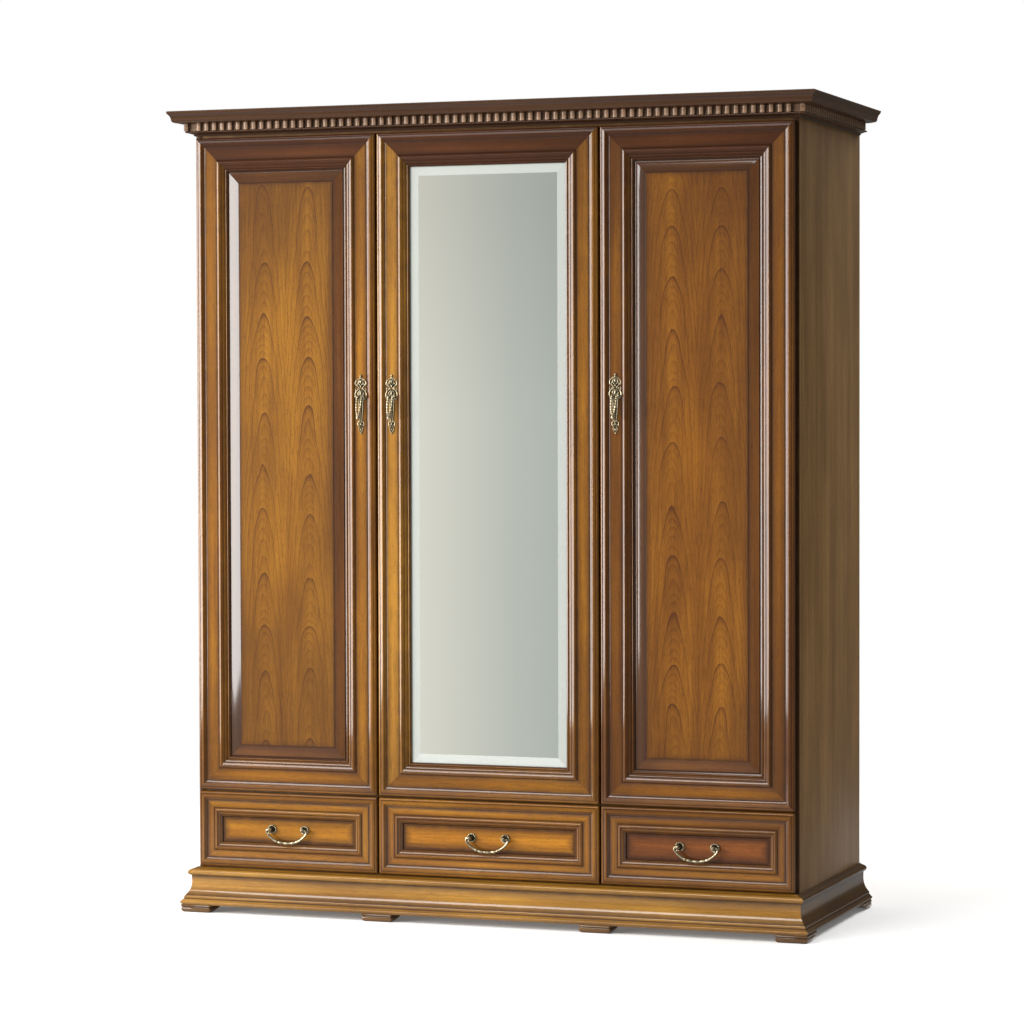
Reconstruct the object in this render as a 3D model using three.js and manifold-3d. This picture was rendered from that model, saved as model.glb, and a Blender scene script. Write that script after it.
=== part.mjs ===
// A three-door wardrobe in classic cabinet style: a board carcass between a moulded plinth on feet and
// a moulded cornice with dentils. Two framed doors carry raised wood panels, the middle one a mirror.
// Three drawers run below the doors. Millimetres, +Z up, +X to the right, the doors face -Y.
import * as THREE from "three";
import { mergeVertices } from "three/addons/utils/BufferGeometryUtils.js";
import Module from "manifold-3d";

const wasm = await Module();
wasm.setup();

// Driving dimensions. Y is 0 at the front edges of the carcass boards and grows towards the back.
const WIDTH = 1600;
const DEPTH = 600;
const HEIGHT = 2058;
const FOOT_HEIGHT = 20;
const PLINTH_TOP = 114;
const CORNICE_BOTTOM = 1996;
const BOARD = 18;
const BACK_THICKNESS = 5;
const BACK_REBATE = 9;
const DIVIDER_X = 296;
const DECK_Z = 305;

const FRONT_THICKNESS = 20;
const FRONT_STANDOFF = 2;
const FRONT_GAP = 4;
const OUTER_REVEAL = 7;
const DOOR_BOTTOM = 316;
const DOOR_TOP = 1989;
const DRAWER_BOTTOM = 118;
const DRAWER_TOP = 312;

const CORNICE_OVERHANG = 56;
const CORNICE_FRONT_SHIFT = 6;
const PLINTH_FRONT_SHIFT = 18;
const MOULDING_INSET = 20;
const MITRE_GAP = 0.2;
const DENTIL_PITCH = 22;
const DENTIL_WIDTH = 9.5;

const FOOT_WIDTH = 82;
const FOOT_DEPTH = 96;
const FOOT_OVERHANG = 33;
const INNER_FOOT_X = 290;

const SHELF_SETBACK = 24;
const HAT_SHELF_Z = 1640;
const NARROW_SHELVES_Z = [720, 1090, 1500];
const RAIL_Z = 1585;
const RAIL_RADIUS = 12.5;

const BOX_LENGTH = 480;
const BOX_SIDE = 12;
const BOX_HEIGHT = 120;
const BOX_LIFT = 8;
const BOX_FLOOR = 8;
const RUNNER_SPACE = 13;
const SNUG_GAP = 0.3;

const POST_X = 45;
const POST_RADIUS = 5;
const POST_LENGTH = 20;
const BAIL_Z = 219;
const BAIL_DROP = 34;
const BAIL_RADIUS = 2.6;
const BAIL_AXIS_OUT = 14;

const PLATE_Z = 1307;
const PLATE_HALF_HEIGHT = 75;
const PLATE_THICKNESS = 3;
const HANDLE_INSET = 40;
const PULL_AXIS_Z = 1327;
const PULL_AXIS_OUT = 9;
const PULL_LENGTH = 60;

const HINGE_HEIGHTS = [430, 1152, 1875];
const HINGE_LENGTH = 62;
const HINGE_WIDTH = 16;
const HINGE_HEIGHT = 12;
const HINGE_PLATE = 3;

// Derived places.
const HALF = WIDTH / 2;
const INSIDE = HALF - BOARD;
const BACK_Y = DEPTH - BACK_THICKNESS;
const TOP_Z = CORNICE_BOTTOM - BOARD;
const FLOOR_Z = PLINTH_TOP + BOARD;
const FRONT_BACK_Y = -FRONT_STANDOFF;
const DIVIDER_FACE = DIVIDER_X + BOARD / 2;
const DIVIDER_NEAR = DIVIDER_X - BOARD / 2;
const BOX_MIDDLE_Y = (DEPTH - CORNICE_OVERHANG - CORNICE_FRONT_SHIFT) / 2;

// Fronts from left to right: the X of the left and right edge of each door and drawer.
const LEFT_FRONT = [-HALF + OUTER_REVEAL, -DIVIDER_X - FRONT_GAP / 2];
const MIDDLE_FRONT = [-DIVIDER_X + FRONT_GAP / 2, DIVIDER_X - FRONT_GAP / 2];
const RIGHT_FRONT = [DIVIDER_X + FRONT_GAP / 2, HALF - OUTER_REVEAL];

// Materials.
function finish(color, roughness, metalness = 0) {
  return new THREE.MeshStandardMaterial({ color, roughness, metalness });
}
const frameWood = finish(0x8a5020, 0.32);
const panelWood = finish(0xa8662b, 0.3);
const sideWood = finish(0x6e4a24, 0.42);
const mouldingWood = finish(0x7d4d22, 0.32);
const insideWood = finish(0xb98a55, 0.5);
const backBoard = finish(0xa88660, 0.7);
const mirrorGlass = finish(0xc3cac6, 0.03, 1);
const mirrorBacking = finish(0x4c4740, 0.75);
const antiqueBrass = finish(0xa08a58, 0.35, 1);
const hingeSteel = finish(0xb4b6b8, 0.28, 1);
const railSteel = finish(0xc8cacc, 0.2, 1);

const wardrobe = new THREE.Group();

function place(name, geometry, material) {
  const mesh = new THREE.Mesh(geometry, material);
  mesh.name = name;
  wardrobe.add(mesh);
  return mesh;
}

// ---------------------------------------------------------------- geometry helpers

function fromTriangles(points, triangles) {
  const geometry = new THREE.BufferGeometry();
  geometry.setAttribute("position", new THREE.Float32BufferAttribute(points.flat(), 3));
  geometry.setIndex(triangles.flat());
  geometry.computeVertexNormals();
  return geometry;
}

function boxBetween([x0, x1], [y0, y1], [z0, z1]) {
  const box = new THREE.BoxGeometry(x1 - x0, y1 - y0, z1 - z0);
  return box.translate((x0 + x1) / 2, (y0 + y1) / 2, (z0 + z1) / 2);
}

// A body that steps through rectangles, each given as [inset, level] from an outer width and height.
// Closed steps make a ring like a mitred frame; open steps are capped at both ends like a panel.
function steppedRectangle(width, height, steps, closed) {
  const corners = [[-1, -1], [1, -1], [1, 1], [-1, 1]];
  const points = steps.flatMap(([inset, level]) =>
    corners.map(([sx, sy]) => [sx * (width / 2 - inset), sy * (height / 2 - inset), level]));
  const triangles = [];
  const last = closed ? steps.length : steps.length - 1;
  for (let step = 0; step < last; step++) {
    const here = step * 4;
    const next = ((step + 1) % steps.length) * 4;
    for (let side = 0; side < 4; side++) {
      const other = (side + 1) % 4;
      triangles.push([here + side, here + other, next + other], [here + side, next + other, next + side]);
    }
  }
  if (!closed) {
    const top = (steps.length - 1) * 4;
    triangles.push([0, 2, 1], [0, 3, 2], [top, top + 1, top + 2], [top, top + 2, top + 3]);
  }
  return fromTriangles(points, triangles);
}

// A length of moulding along X. Profile points are [out, up], counterclockwise. A mitred end runs on
// by as much as each point stands out, so that it meets its neighbour on the corner's diagonal.
function mouldingLength(profile, x0, x1, mitreStart, mitreEnd) {
  const count = profile.length;
  const start = profile.map(([out, up]) => [x0 - (mitreStart ? out : 0), -out, up]);
  const end = profile.map(([out, up]) => [x1 + (mitreEnd ? out : 0), -out, up]);
  const flat = profile.map(([out, up]) => new THREE.Vector2(out, up));
  const caps = THREE.ShapeUtils.triangulateShape(flat, []);
  const triangles = [];
  for (let i = 0; i < count; i++) {
    const j = (i + 1) % count;
    triangles.push([i, i + count, j + count], [i, j + count, j]);
  }
  for (const [a, b, c] of caps) {
    triangles.push([a, b, c], [c + count, b + count, a + count]);
  }
  return fromTriangles([...start, ...end], triangles);
}

function arc(centreOut, centreUp, radius, fromDegrees, toDegrees, pieces) {
  return Array.from({ length: pieces + 1 }, (_, i) => {
    const angle = THREE.MathUtils.degToRad(fromDegrees + ((toDegrees - fromDegrees) * i) / pieces);
    return [centreOut + radius * Math.cos(angle), centreUp + radius * Math.sin(angle)];
  });
}

function toSolid(geometry) {
  const bare = geometry.index ? geometry.toNonIndexed() : geometry.clone();
  bare.deleteAttribute("normal");
  bare.deleteAttribute("uv");
  const merged = mergeVertices(bare, 1e-4);
  const vertProperties = new Float32Array(merged.attributes.position.array);
  const triVerts = new Uint32Array(merged.index.array);
  return new wasm.Manifold(new wasm.Mesh({ numProp: 3, vertProperties, triVerts }));
}

function fromSolid(solid) {
  const { vertProperties, triVerts } = solid.getMesh();
  const geometry = new THREE.BufferGeometry();
  geometry.setAttribute("position", new THREE.BufferAttribute(vertProperties, 3));
  geometry.setIndex(new THREE.BufferAttribute(triVerts, 1));
  geometry.computeVertexNormals();
  return geometry;
}

function joined(first, ...others) {
  return fromSolid(others.reduce((sum, next) => sum.add(toSolid(next)), toSolid(first)));
}

// ---------------------------------------------------------------- carcass

function sidePanel(side) {
  const outline = new THREE.Shape();
  outline.moveTo(side * HALF, 0);
  outline.lineTo(side * INSIDE, 0);
  outline.lineTo(side * INSIDE, BACK_Y);
  outline.lineTo(side * (HALF - BACK_REBATE), BACK_Y);
  outline.lineTo(side * (HALF - BACK_REBATE), DEPTH);
  outline.lineTo(side * HALF, DEPTH);
  const panel = new THREE.ExtrudeGeometry(outline, { depth: CORNICE_BOTTOM - PLINTH_TOP, bevelEnabled: false });
  return panel.translate(0, 0, PLINTH_TOP);
}

function addCarcass() {
  place("side_panel_left", sidePanel(-1), sideWood);
  place("side_panel_right", sidePanel(1), sideWood);
  const across = [-INSIDE, INSIDE];
  const deep = [0, BACK_Y];
  place("bottom_panel", boxBetween(across, deep, [PLINTH_TOP, FLOOR_Z]), insideWood);
  place("deck_panel", boxBetween(across, deep, [DECK_Z, DECK_Z + BOARD]), insideWood);
  place("top_panel", boxBetween(across, deep, [TOP_Z, CORNICE_BOTTOM]), insideWood);
  const right = [DIVIDER_NEAR, DIVIDER_FACE];
  const left = [-DIVIDER_FACE, -DIVIDER_NEAR];
  place("divider_panel", boxBetween(right, deep, [DECK_Z + BOARD, TOP_Z]), insideWood);
  place("drawer_divider_left", boxBetween(left, deep, [FLOOR_Z, DECK_Z]), insideWood);
  place("drawer_divider_right", boxBetween(right, deep, [FLOOR_Z, DECK_Z]), insideWood);
  const backHeight = [PLINTH_TOP, CORNICE_BOTTOM];
  const backDepth = [BACK_Y, DEPTH];
  const backEdge = HALF - BACK_REBATE;
  place("back_panel_wide", boxBetween([-backEdge, DIVIDER_X - SNUG_GAP], backDepth, backHeight), backBoard);
  place("back_panel_narrow", boxBetween([DIVIDER_X, backEdge], backDepth, backHeight), backBoard);
}

function hangingRail() {
  const length = INSIDE + DIVIDER_NEAR;
  const tube = new THREE.CylinderGeometry(RAIL_RADIUS, RAIL_RADIUS, length, 24);
  const flange = new THREE.CylinderGeometry(RAIL_RADIUS + 9, RAIL_RADIUS + 9, 8, 24);
  const flanges = [-1, 1].map((side) => flange.clone().translate(0, side * (length / 2 - 4), 0));
  const rail = joined(tube, ...flanges).rotateZ(Math.PI / 2);
  return rail.translate((DIVIDER_NEAR - INSIDE) / 2, DEPTH / 2, RAIL_Z);
}

function addFittings() {
  const deep = [SHELF_SETBACK, BACK_Y - 1];
  const hat = boxBetween([-INSIDE, DIVIDER_NEAR], deep, [HAT_SHELF_Z, HAT_SHELF_Z + BOARD]);
  place("hat_shelf", hat, insideWood);
  place("hanging_rail", hangingRail(), railSteel);
  NARROW_SHELVES_Z.forEach((z, i) => {
    const shelf = boxBetween([DIVIDER_FACE + 1, INSIDE - 1], deep, [z, z + BOARD]);
    place(`shelf_${i + 1}`, shelf, insideWood);
  });
}

// ---------------------------------------------------------------- plinth, feet and cornice

// Plinth section: a torus on top, a tall face that sweeps out in a cove, a fillet and a foot moulding.
const plinthProfile = [
  [-MOULDING_INSET, PLINTH_TOP],
  [-MOULDING_INSET, FOOT_HEIGHT],
  [32, FOOT_HEIGHT],
  [34, FOOT_HEIGHT + 4],
  [33.5, FOOT_HEIGHT + 9],
  [30, FOOT_HEIGHT + 14],
  [25.5, FOOT_HEIGHT + 17],
  [26.3, FOOT_HEIGHT + 19],
  [24.5, FOOT_HEIGHT + 22.6],
  [20.7, FOOT_HEIGHT + 25],
  [14, FOOT_HEIGHT + 33],
  [11.3, FOOT_HEIGHT + 43],
  [10.7, FOOT_HEIGHT + 52],
  [10.7, FOOT_HEIGHT + 73.5],
  ...arc(11.5, FOOT_HEIGHT + 81.5, 7.3, -75, 60, 5),
  [9, FOOT_HEIGHT + 90],
  [2, PLINTH_TOP],
];

// Cornice section: a bed mould, the dentil band, the soffit, an ogee fascia and a small nose.
const cornicePlane = 12;
const bandBottom = CORNICE_BOTTOM + 12;
const bandTop = CORNICE_BOTTOM + 30;
const corniceProfile = [
  [-MOULDING_INSET, HEIGHT],
  [-MOULDING_INSET, CORNICE_BOTTOM],
  [2, CORNICE_BOTTOM],
  [3, CORNICE_BOTTOM + 4],
  [12, CORNICE_BOTTOM + 7],
  [19.5, CORNICE_BOTTOM + 9.5],
  [18.5, bandBottom],
  [cornicePlane, bandBottom],
  [cornicePlane, bandTop],
  [24, bandTop + 0.5],
  [38, bandTop + 2],
  [43.5, bandTop + 4.5],
  [46.5, bandTop + 9],
  [48, bandTop + 15],
  [50.5, HEIGHT - 11.5],
  [CORNICE_OVERHANG - 1, HEIGHT - 6],
  [CORNICE_OVERHANG, HEIGHT - 4.5],
  [CORNICE_OVERHANG, HEIGHT - 1],
  [CORNICE_OVERHANG - 1, HEIGHT],
];

// A comb of teeth on a thin strip: the dentils below the cornice's soffit.
function dentilComb(from, to) {
  const depth = 10;
  const back = -cornicePlane + 1;
  const front = -cornicePlane - 2;
  const teeth = Math.floor((to - from) / DENTIL_PITCH);
  const first = (from + to - teeth * DENTIL_PITCH) / 2;
  const outline = new THREE.Shape();
  outline.moveTo(from, back);
  outline.lineTo(from, front);
  for (let i = 0; i < teeth; i++) {
    const left = first + i * DENTIL_PITCH + (DENTIL_PITCH - DENTIL_WIDTH) / 2;
    outline.lineTo(left, front);
    outline.lineTo(left, front - depth);
    outline.lineTo(left + DENTIL_WIDTH, front - depth);
    outline.lineTo(left + DENTIL_WIDTH, front);
  }
  outline.lineTo(to, front);
  outline.lineTo(to, back);
  const comb = new THREE.ExtrudeGeometry(outline, { depth: bandTop - bandBottom + 0.8, bevelEnabled: false });
  return comb.translate(0, 0, bandBottom - 0.4);
}

// Sets a length of moulding, made along X with its outer side facing -Y, on the left or right side.
function ontoSide(geometry, side) {
  return geometry.rotateZ((side * Math.PI) / 2).translate(side * HALF, 0, 0);
}

// Three mitred lengths round the front and sides, and a plain board across the back.
function addSurround(name, profile, frontShift, decorate) {
  const dress = decorate ?? ((geometry) => geometry);
  const cut = MITRE_GAP / 2;
  const front = mouldingLength(profile, -HALF + cut, HALF - cut, true, true);
  const dressedFront = dress(front, -HALF, HALF);
  place(`${name}_front`, dressedFront.translate(0, -frontShift, 0), mouldingWood);
  // Along its own X, a side length runs from the front corner to the back on the right-hand side.
  const right = mouldingLength(profile, -frontShift + cut, DEPTH, true, false);
  place(`${name}_right`, ontoSide(dress(right, -frontShift, DEPTH), 1), mouldingWood);
  const left = mouldingLength(profile, -DEPTH, frontShift - cut, false, true);
  place(`${name}_left`, ontoSide(dress(left, -DEPTH, frontShift), -1), mouldingWood);
  const zs = profile.map(([, up]) => up);
  const board = boxBetween(
    [-HALF + MOULDING_INSET, HALF - MOULDING_INSET],
    [DEPTH - MOULDING_INSET, DEPTH],
    [Math.min(...zs), Math.max(...zs)],
  );
  place(`${name}_back_rail`, board, insideWood);
}

function corniceWithDentils(moulding, from, to) {
  const trim = cornicePlane / 2;
  return joined(moulding, dentilComb(from + trim, to - trim));
}

// A foot tapers from its top down to a narrower sole under its front edge.
function footBlock(x, frontY, backwards) {
  const sole = 22;
  const chamfer = 3;
  const rect = (x0, x1, near, far, z) => [
    [x0, near, z], [x1, near, z], [x1, far, z], [x0, far, z],
  ];
  const half = FOOT_WIDTH / 2;
  const near = frontY;
  const far = frontY + backwards * FOOT_DEPTH;
  const bottom = rect(x - half + chamfer, x + half - chamfer, near + backwards * 2, near + backwards * sole, 0);
  const top = rect(x - half, x + half, near, far, FOOT_HEIGHT);
  const triangles = [[0, 2, 1], [0, 3, 2], [4, 5, 6], [4, 6, 7]];
  for (let i = 0; i < 4; i++) {
    const j = (i + 1) % 4;
    triangles.push([i, j, j + 4], [i, j + 4, i + 4]);
  }
  const outwards = backwards > 0 ? triangles : triangles.map(([a, b, c]) => [a, c, b]);
  return fromTriangles([...bottom, ...top], outwards);
}

function addFeet() {
  const cornerX = HALF + FOOT_OVERHANG - FOOT_WIDTH / 2;
  const frontY = -PLINTH_FRONT_SHIFT - FOOT_OVERHANG + 2;
  const front = { left_corner: -cornerX, left_inner: -INNER_FOOT_X, right_inner: INNER_FOOT_X, right_corner: cornerX };
  for (const [name, x] of Object.entries(front)) {
    place(`foot_front_${name}`, footBlock(x, frontY, 1), mouldingWood);
  }
  place("foot_back_left", footBlock(-cornerX, DEPTH, -1), mouldingWood);
  place("foot_back_right", footBlock(cornerX, DEPTH, -1), mouldingWood);
}

// ---------------------------------------------------------------- doors

const FRAME_WIDTH = 87;
const REBATE_WIDTH = 10;
const REBATE_DEPTH = 7;
const FRAME_FACE = 15.5;

// The raised lip round every front as [inset, level above the back]: roundover, crest and inner slope.
const lip = [
  [0, 0],
  [0, 12.5],
  [3.5, 17.3],
  [7, 18.8],
  [14, FRONT_THICKNESS],
  [16.5, 19.4],
  [22, 16],
  [24.5, FRAME_FACE],
];

// Frame section: lip, flat, inner bead falling in two slopes, edge and rebate.
const frameProfile = [
  ...lip,
  [56, FRAME_FACE],
  [62.5, 19.5],
  [65, 19.5],
  [72, 15.6],
  [79.5, 11.4],
  [83, 11.4],
  [FRAME_WIDTH, 9],
  [FRAME_WIDTH, REBATE_DEPTH],
  [FRAME_WIDTH - REBATE_WIDTH, REBATE_DEPTH],
  [FRAME_WIDTH - REBATE_WIDTH, 0],
];

const panelSteps = [
  [0, 0.5],
  [0, REBATE_DEPTH - SNUG_GAP],
  [18, REBATE_DEPTH - SNUG_GAP],
  [19, 9],
  [42, 13],
];

// Stands a shape drawn in XY, with its level along Z, up as a front: level runs towards the viewer.
function standUp(geometry, [x0, x1], [z0, z1]) {
  return geometry.rotateX(Math.PI / 2).translate((x0 + x1) / 2, FRONT_BACK_Y, (z0 + z1) / 2);
}

function addDoor(name, span, filling) {
  const height = [DOOR_BOTTOM, DOOR_TOP];
  const outerWidth = span[1] - span[0];
  const outerHeight = DOOR_TOP - DOOR_BOTTOM;
  const frame = steppedRectangle(outerWidth, outerHeight, frameProfile, true);
  place(`${name}_frame`, standUp(frame, span, height), frameWood);
  const edge = FRAME_WIDTH - REBATE_WIDTH + SNUG_GAP;
  const fillWidth = outerWidth - 2 * edge;
  const fillHeight = outerHeight - 2 * edge;
  if (filling === "panel") {
    const panel = steppedRectangle(fillWidth, fillHeight, panelSteps, false);
    place(`${name}_panel`, standUp(panel, span, height), panelWood);
    return;
  }
  const glass = steppedRectangle(fillWidth, fillHeight, [[0, 2.7], [0, 5.7], [10, 5.7], [32, 6.7]], false);
  place(`${name}_mirror`, standUp(glass, span, height), mirrorGlass);
  const backing = steppedRectangle(fillWidth, fillHeight, [[0, 0.3], [0, 2.4]], false);
  place(`${name}_mirror_backing`, standUp(backing, span, height), mirrorBacking);
}

// A pierced backplate: narrow finials above and below, a wide head with two openings, and two lugs
// that carry the pull.
function handlePlate() {
  const half = [
    [0, -PLATE_HALF_HEIGHT], [5, -68], [3, -60], [8, -54], [8, -48], [4, -42], [5, -20], [5, 4],
    [13, 10], [15, 20], [12, 28], [8, 34], [14, 42], [14, 50], [7, 55], [5, 64],
  ];
  const outline = new THREE.Shape();
  half.forEach(([x, z], i) => (i ? outline.lineTo(x, z) : outline.moveTo(x, z)));
  outline.lineTo(0, PLATE_HALF_HEIGHT);
  [...half].reverse().slice(0, -1).forEach(([x, z]) => outline.lineTo(-x, z));
  for (const side of [-1, 1]) {
    const hole = new THREE.Path();
    hole.absellipse(side * 6.5, 44, 3, 6, 0, 2 * Math.PI, true);
    outline.holes.push(hole);
  }
  const plate = new THREE.ExtrudeGeometry(outline, { depth: PLATE_THICKNESS, bevelEnabled: false, curveSegments: 8 });
  const lugs = [-1, 1].map((side) =>
    boxBetween(side < 0 ? [-13, -10] : [10, 13], [16, 24], [PLATE_THICKNESS - 0.5, PULL_AXIS_OUT + 4]));
  return joined(plate, ...lugs);
}

function sweepTube(points, radius, steps, sides) {
  const path = new THREE.CatmullRomCurve3(points.map(([x, y, z]) => new THREE.Vector3(x, y, z)));
  const section = new THREE.Shape();
  section.absarc(0, 0, radius, 0, 2 * Math.PI, false);
  return new THREE.ExtrudeGeometry(section, {
    steps, extrudePath: path, bevelEnabled: false, curveSegments: sides,
  });
}

// The hanging pull: a spindle across the top, two side bars and a bulb where they meet.
function dropPull() {
  const spindle = new THREE.CylinderGeometry(2, 2, 19, 12).rotateZ(Math.PI / 2);
  const bars = [-1, 1].map((side) =>
    sweepTube([[side * 7, 0, 0], [side * 6.5, -3, -16], [side * 5.5, -8, -35], [0, -11, -49]], 2, 14, 4));
  const bulb = new THREE.SphereGeometry(5, 12, 8).translate(0, -11.5, -PULL_LENGTH + 6);
  return joined(spindle, ...bars, bulb);
}

function addHandle(name, x) {
  const face = FRONT_BACK_Y - FRAME_FACE;
  const plate = handlePlate().rotateX(Math.PI / 2);
  place(`${name}_handle_plate`, plate.translate(x, face - SNUG_GAP, PLATE_Z), antiqueBrass);
  const pull = dropPull().translate(x, face - SNUG_GAP - PULL_AXIS_OUT, PULL_AXIS_Z);
  place(`${name}_drop_pull`, pull, antiqueBrass);
}

// The cabinet half of a concealed hinge: a plate screwed to the upright and an arm on top of it.
function hingeArm(faceX, towards, z) {
  const across = (from, to) => [faceX + towards * from, faceX + towards * to].sort((a, b) => a - b);
  const plate = boxBetween(across(0, HINGE_PLATE), [24, 56], [z - 24, z + 24]);
  const reach = across(HINGE_PLATE - 1, HINGE_PLATE + HINGE_HEIGHT);
  const arm = boxBetween(reach, [3, 3 + HINGE_LENGTH], [z - HINGE_WIDTH / 2, z + HINGE_WIDTH / 2]);
  return joined(plate, arm);
}

function addHinges(door, faceX, towards) {
  const places = ["bottom", "middle", "top"];
  HINGE_HEIGHTS.forEach((z, i) => place(`${door}_hinge_arm_${places[i]}`, hingeArm(faceX, towards, z), hingeSteel));
}

// ---------------------------------------------------------------- drawers

const drawerSteps = [
  ...lip,
  [42.5, FRAME_FACE],
  [49, 19],
  [51.5, 19],
  [58, 14.5],
  [61, 13.5],
  [65, 10],
];
const DRAWER_FIELD = drawerSteps.at(-1)[1];

function drawerFront(span) {
  const middle = (span[0] + span[1]) / 2;
  const steps = steppedRectangle(span[1] - span[0], DRAWER_TOP - DRAWER_BOTTOM, drawerSteps, false);
  const front = standUp(steps, span, [DRAWER_BOTTOM, DRAWER_TOP]);
  const posts = [-1, 1].map((side) => {
    const post = new THREE.CylinderGeometry(POST_RADIUS, POST_RADIUS, POST_LENGTH, 16);
    const out = FRONT_BACK_Y - DRAWER_FIELD - POST_LENGTH / 2 + 1;
    return post.translate(middle + side * POST_X, out, BAIL_Z);
  });
  return joined(front, ...posts);
}

// An open-topped box: four walls and a floor.
function drawerBox([x0, x1]) {
  const z0 = FLOOR_Z + BOX_LIFT;
  const width = x1 - x0 - 2 * RUNNER_SPACE;
  const length = BOX_LENGTH - SNUG_GAP;
  const levels = [[0, 0], [0, BOX_HEIGHT], [BOX_SIDE, BOX_HEIGHT], [BOX_SIDE, BOX_FLOOR]];
  const box = steppedRectangle(width, length, levels, false);
  return box.translate((x0 + x1) / 2, FRONT_BACK_Y + SNUG_GAP + length / 2, z0);
}

function bail(x) {
  const out = FRONT_BACK_Y - DRAWER_FIELD - BAIL_AXIS_OUT;
  const reach = POST_X + POST_RADIUS + 0.6;
  const half = [
    [reach, 0], [reach + 4.4, -1], [reach + 5, -6], [reach, -14], [reach - 7, -23.5], [reach - 16, -30],
    [reach - 26, -BAIL_DROP + 1],
  ];
  const right = half.map(([px, pz]) => [px, 0, pz]);
  const left = [...right].reverse().map(([px, py, pz]) => [-px, py, pz]);
  const tube = sweepTube([...right, [0, 0, -BAIL_DROP], ...left], BAIL_RADIUS, 44, 4);
  return tube.translate(x, out, BAIL_Z);
}

function addDrawer(name, span, opening) {
  place(`${name}_front`, drawerFront(span), frameWood);
  place(`${name}_box`, drawerBox(opening), insideWood);
  place(`${name}_bail`, bail((span[0] + span[1]) / 2), antiqueBrass);
}

// ---------------------------------------------------------------- assembly

addCarcass();
addFittings();
addSurround("plinth", plinthProfile, PLINTH_FRONT_SHIFT);
addSurround("cornice", corniceProfile, CORNICE_FRONT_SHIFT, corniceWithDentils);
addFeet();

addDoor("left_door", LEFT_FRONT, "panel");
addDoor("middle_door", MIDDLE_FRONT, "mirror");
addDoor("right_door", RIGHT_FRONT, "panel");
addHandle("left_door", LEFT_FRONT[1] - HANDLE_INSET);
addHandle("middle_door", MIDDLE_FRONT[0] + HANDLE_INSET);
addHandle("right_door", RIGHT_FRONT[0] + HANDLE_INSET);
addHinges("left_door", -INSIDE, 1);
addHinges("middle_door", DIVIDER_NEAR, -1);
addHinges("right_door", INSIDE, -1);

addDrawer("left_drawer", LEFT_FRONT, [-INSIDE, -DIVIDER_FACE]);
addDrawer("middle_drawer", MIDDLE_FRONT, [-DIVIDER_NEAR, DIVIDER_NEAR]);
addDrawer("right_drawer", RIGHT_FRONT, [DIVIDER_FACE, INSIDE]);

// The origin is under the middle of the wardrobe's footprint, on the floor.
wardrobe.position.y = -BOX_MIDDLE_Y;

export default wardrobe;
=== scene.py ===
import math
import random

import bmesh
import bpy
from mathutils import Matrix, Vector


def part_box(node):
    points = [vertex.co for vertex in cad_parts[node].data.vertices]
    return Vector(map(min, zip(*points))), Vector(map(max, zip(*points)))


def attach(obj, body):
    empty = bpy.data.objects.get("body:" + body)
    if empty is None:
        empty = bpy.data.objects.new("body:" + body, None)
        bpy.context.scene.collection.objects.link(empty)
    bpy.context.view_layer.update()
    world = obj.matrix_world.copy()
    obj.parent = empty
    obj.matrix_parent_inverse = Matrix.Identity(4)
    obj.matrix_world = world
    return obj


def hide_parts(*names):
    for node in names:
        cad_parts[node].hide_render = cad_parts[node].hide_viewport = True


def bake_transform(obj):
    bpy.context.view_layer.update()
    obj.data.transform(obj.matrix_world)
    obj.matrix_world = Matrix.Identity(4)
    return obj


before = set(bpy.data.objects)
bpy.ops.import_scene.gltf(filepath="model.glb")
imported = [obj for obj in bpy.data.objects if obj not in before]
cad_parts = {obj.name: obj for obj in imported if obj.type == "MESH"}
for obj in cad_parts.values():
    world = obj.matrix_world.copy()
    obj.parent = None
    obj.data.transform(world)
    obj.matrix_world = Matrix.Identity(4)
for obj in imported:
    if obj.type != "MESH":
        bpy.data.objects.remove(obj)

MM = 0.001
X, Y, Z = 0, 1, 2
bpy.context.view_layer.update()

DOORS = ("left_door", "middle_door", "right_door")
DRAWERS = ("left_drawer", "middle_drawer", "right_drawer")
SHELVES = ("shelf_1", "shelf_2", "shelf_3")
BACK_BOARDS = ("back_panel_wide", "back_panel_narrow")
LEFT, FRONT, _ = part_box("side_panel_left")[0]
RIGHT, BACK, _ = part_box("side_panel_right")[1]


# ---- sections, in millimetres
# A section is a list of (inset or overhang, height, darkening). The darkening runs from 0 on open faces
# to 1 in the grooves and gaps: partly dark stain gathered there, partly painted shade where shadow falls.

def arc(cx, cy, radius, start, end, steps, glaze, stain_and_painted_light_end):
    """Points along a circle's arc, from the start angle to the end angle in degrees."""
    points = []
    for i in range(steps + 1):
        t = i / steps
        angle = math.radians(start + (end - start) * t)
        shade = glaze + (stain_and_painted_light_end - glaze) * t
        points.append((cx + radius * math.cos(angle), cy + radius * math.sin(angle), shade))
    return points


# The outer side of the lip, in the gap between the fronts, is darkened fully: painted shadow of the gap.
LIP = [
    (0, 0.3, 1), (0, 10, 1), (0, 12, 0.7),
    *arc(6.4, 12.2, 6.4, 180, 102, 8, 0.6, 0.3),
    (6.3, 18.5, 0.7), (6.8, 17.9, 1), (7.5, 17.9, 1), (7.9, 18.8, 0.6),
    (10, 19.3, 0.4), (12, 19.7, 0.35), (13.6, 19.95, 0.35),
    *arc(14.2, 17.2, 2.8, 82, 38, 4, 0.35, 0.5),
    (18.4, 17.5, 0.6), (20.6, 16.3, 0.75), (22.2, 15.7, 0.9),
    (22.9, 15.1, 1), (24, 15.1, 1), (24.6, 15.5, 0.9),
]
FACE_HEIGHT = 15.4
DISH_RISE = 0.15


def dished_flat(end):
    """The wide face from the lip to the inner moulding: a shallow hollow, darker towards both edges."""
    start, steps = 25.2, 10
    points = []
    for i in range(steps + 1):
        t = i / steps
        edge = abs(2 * t - 1)
        points.append((start + (end - start) * t, FACE_HEIGHT + DISH_RISE * edge * edge, 0.75 * edge ** 2.2))
    return points


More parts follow.
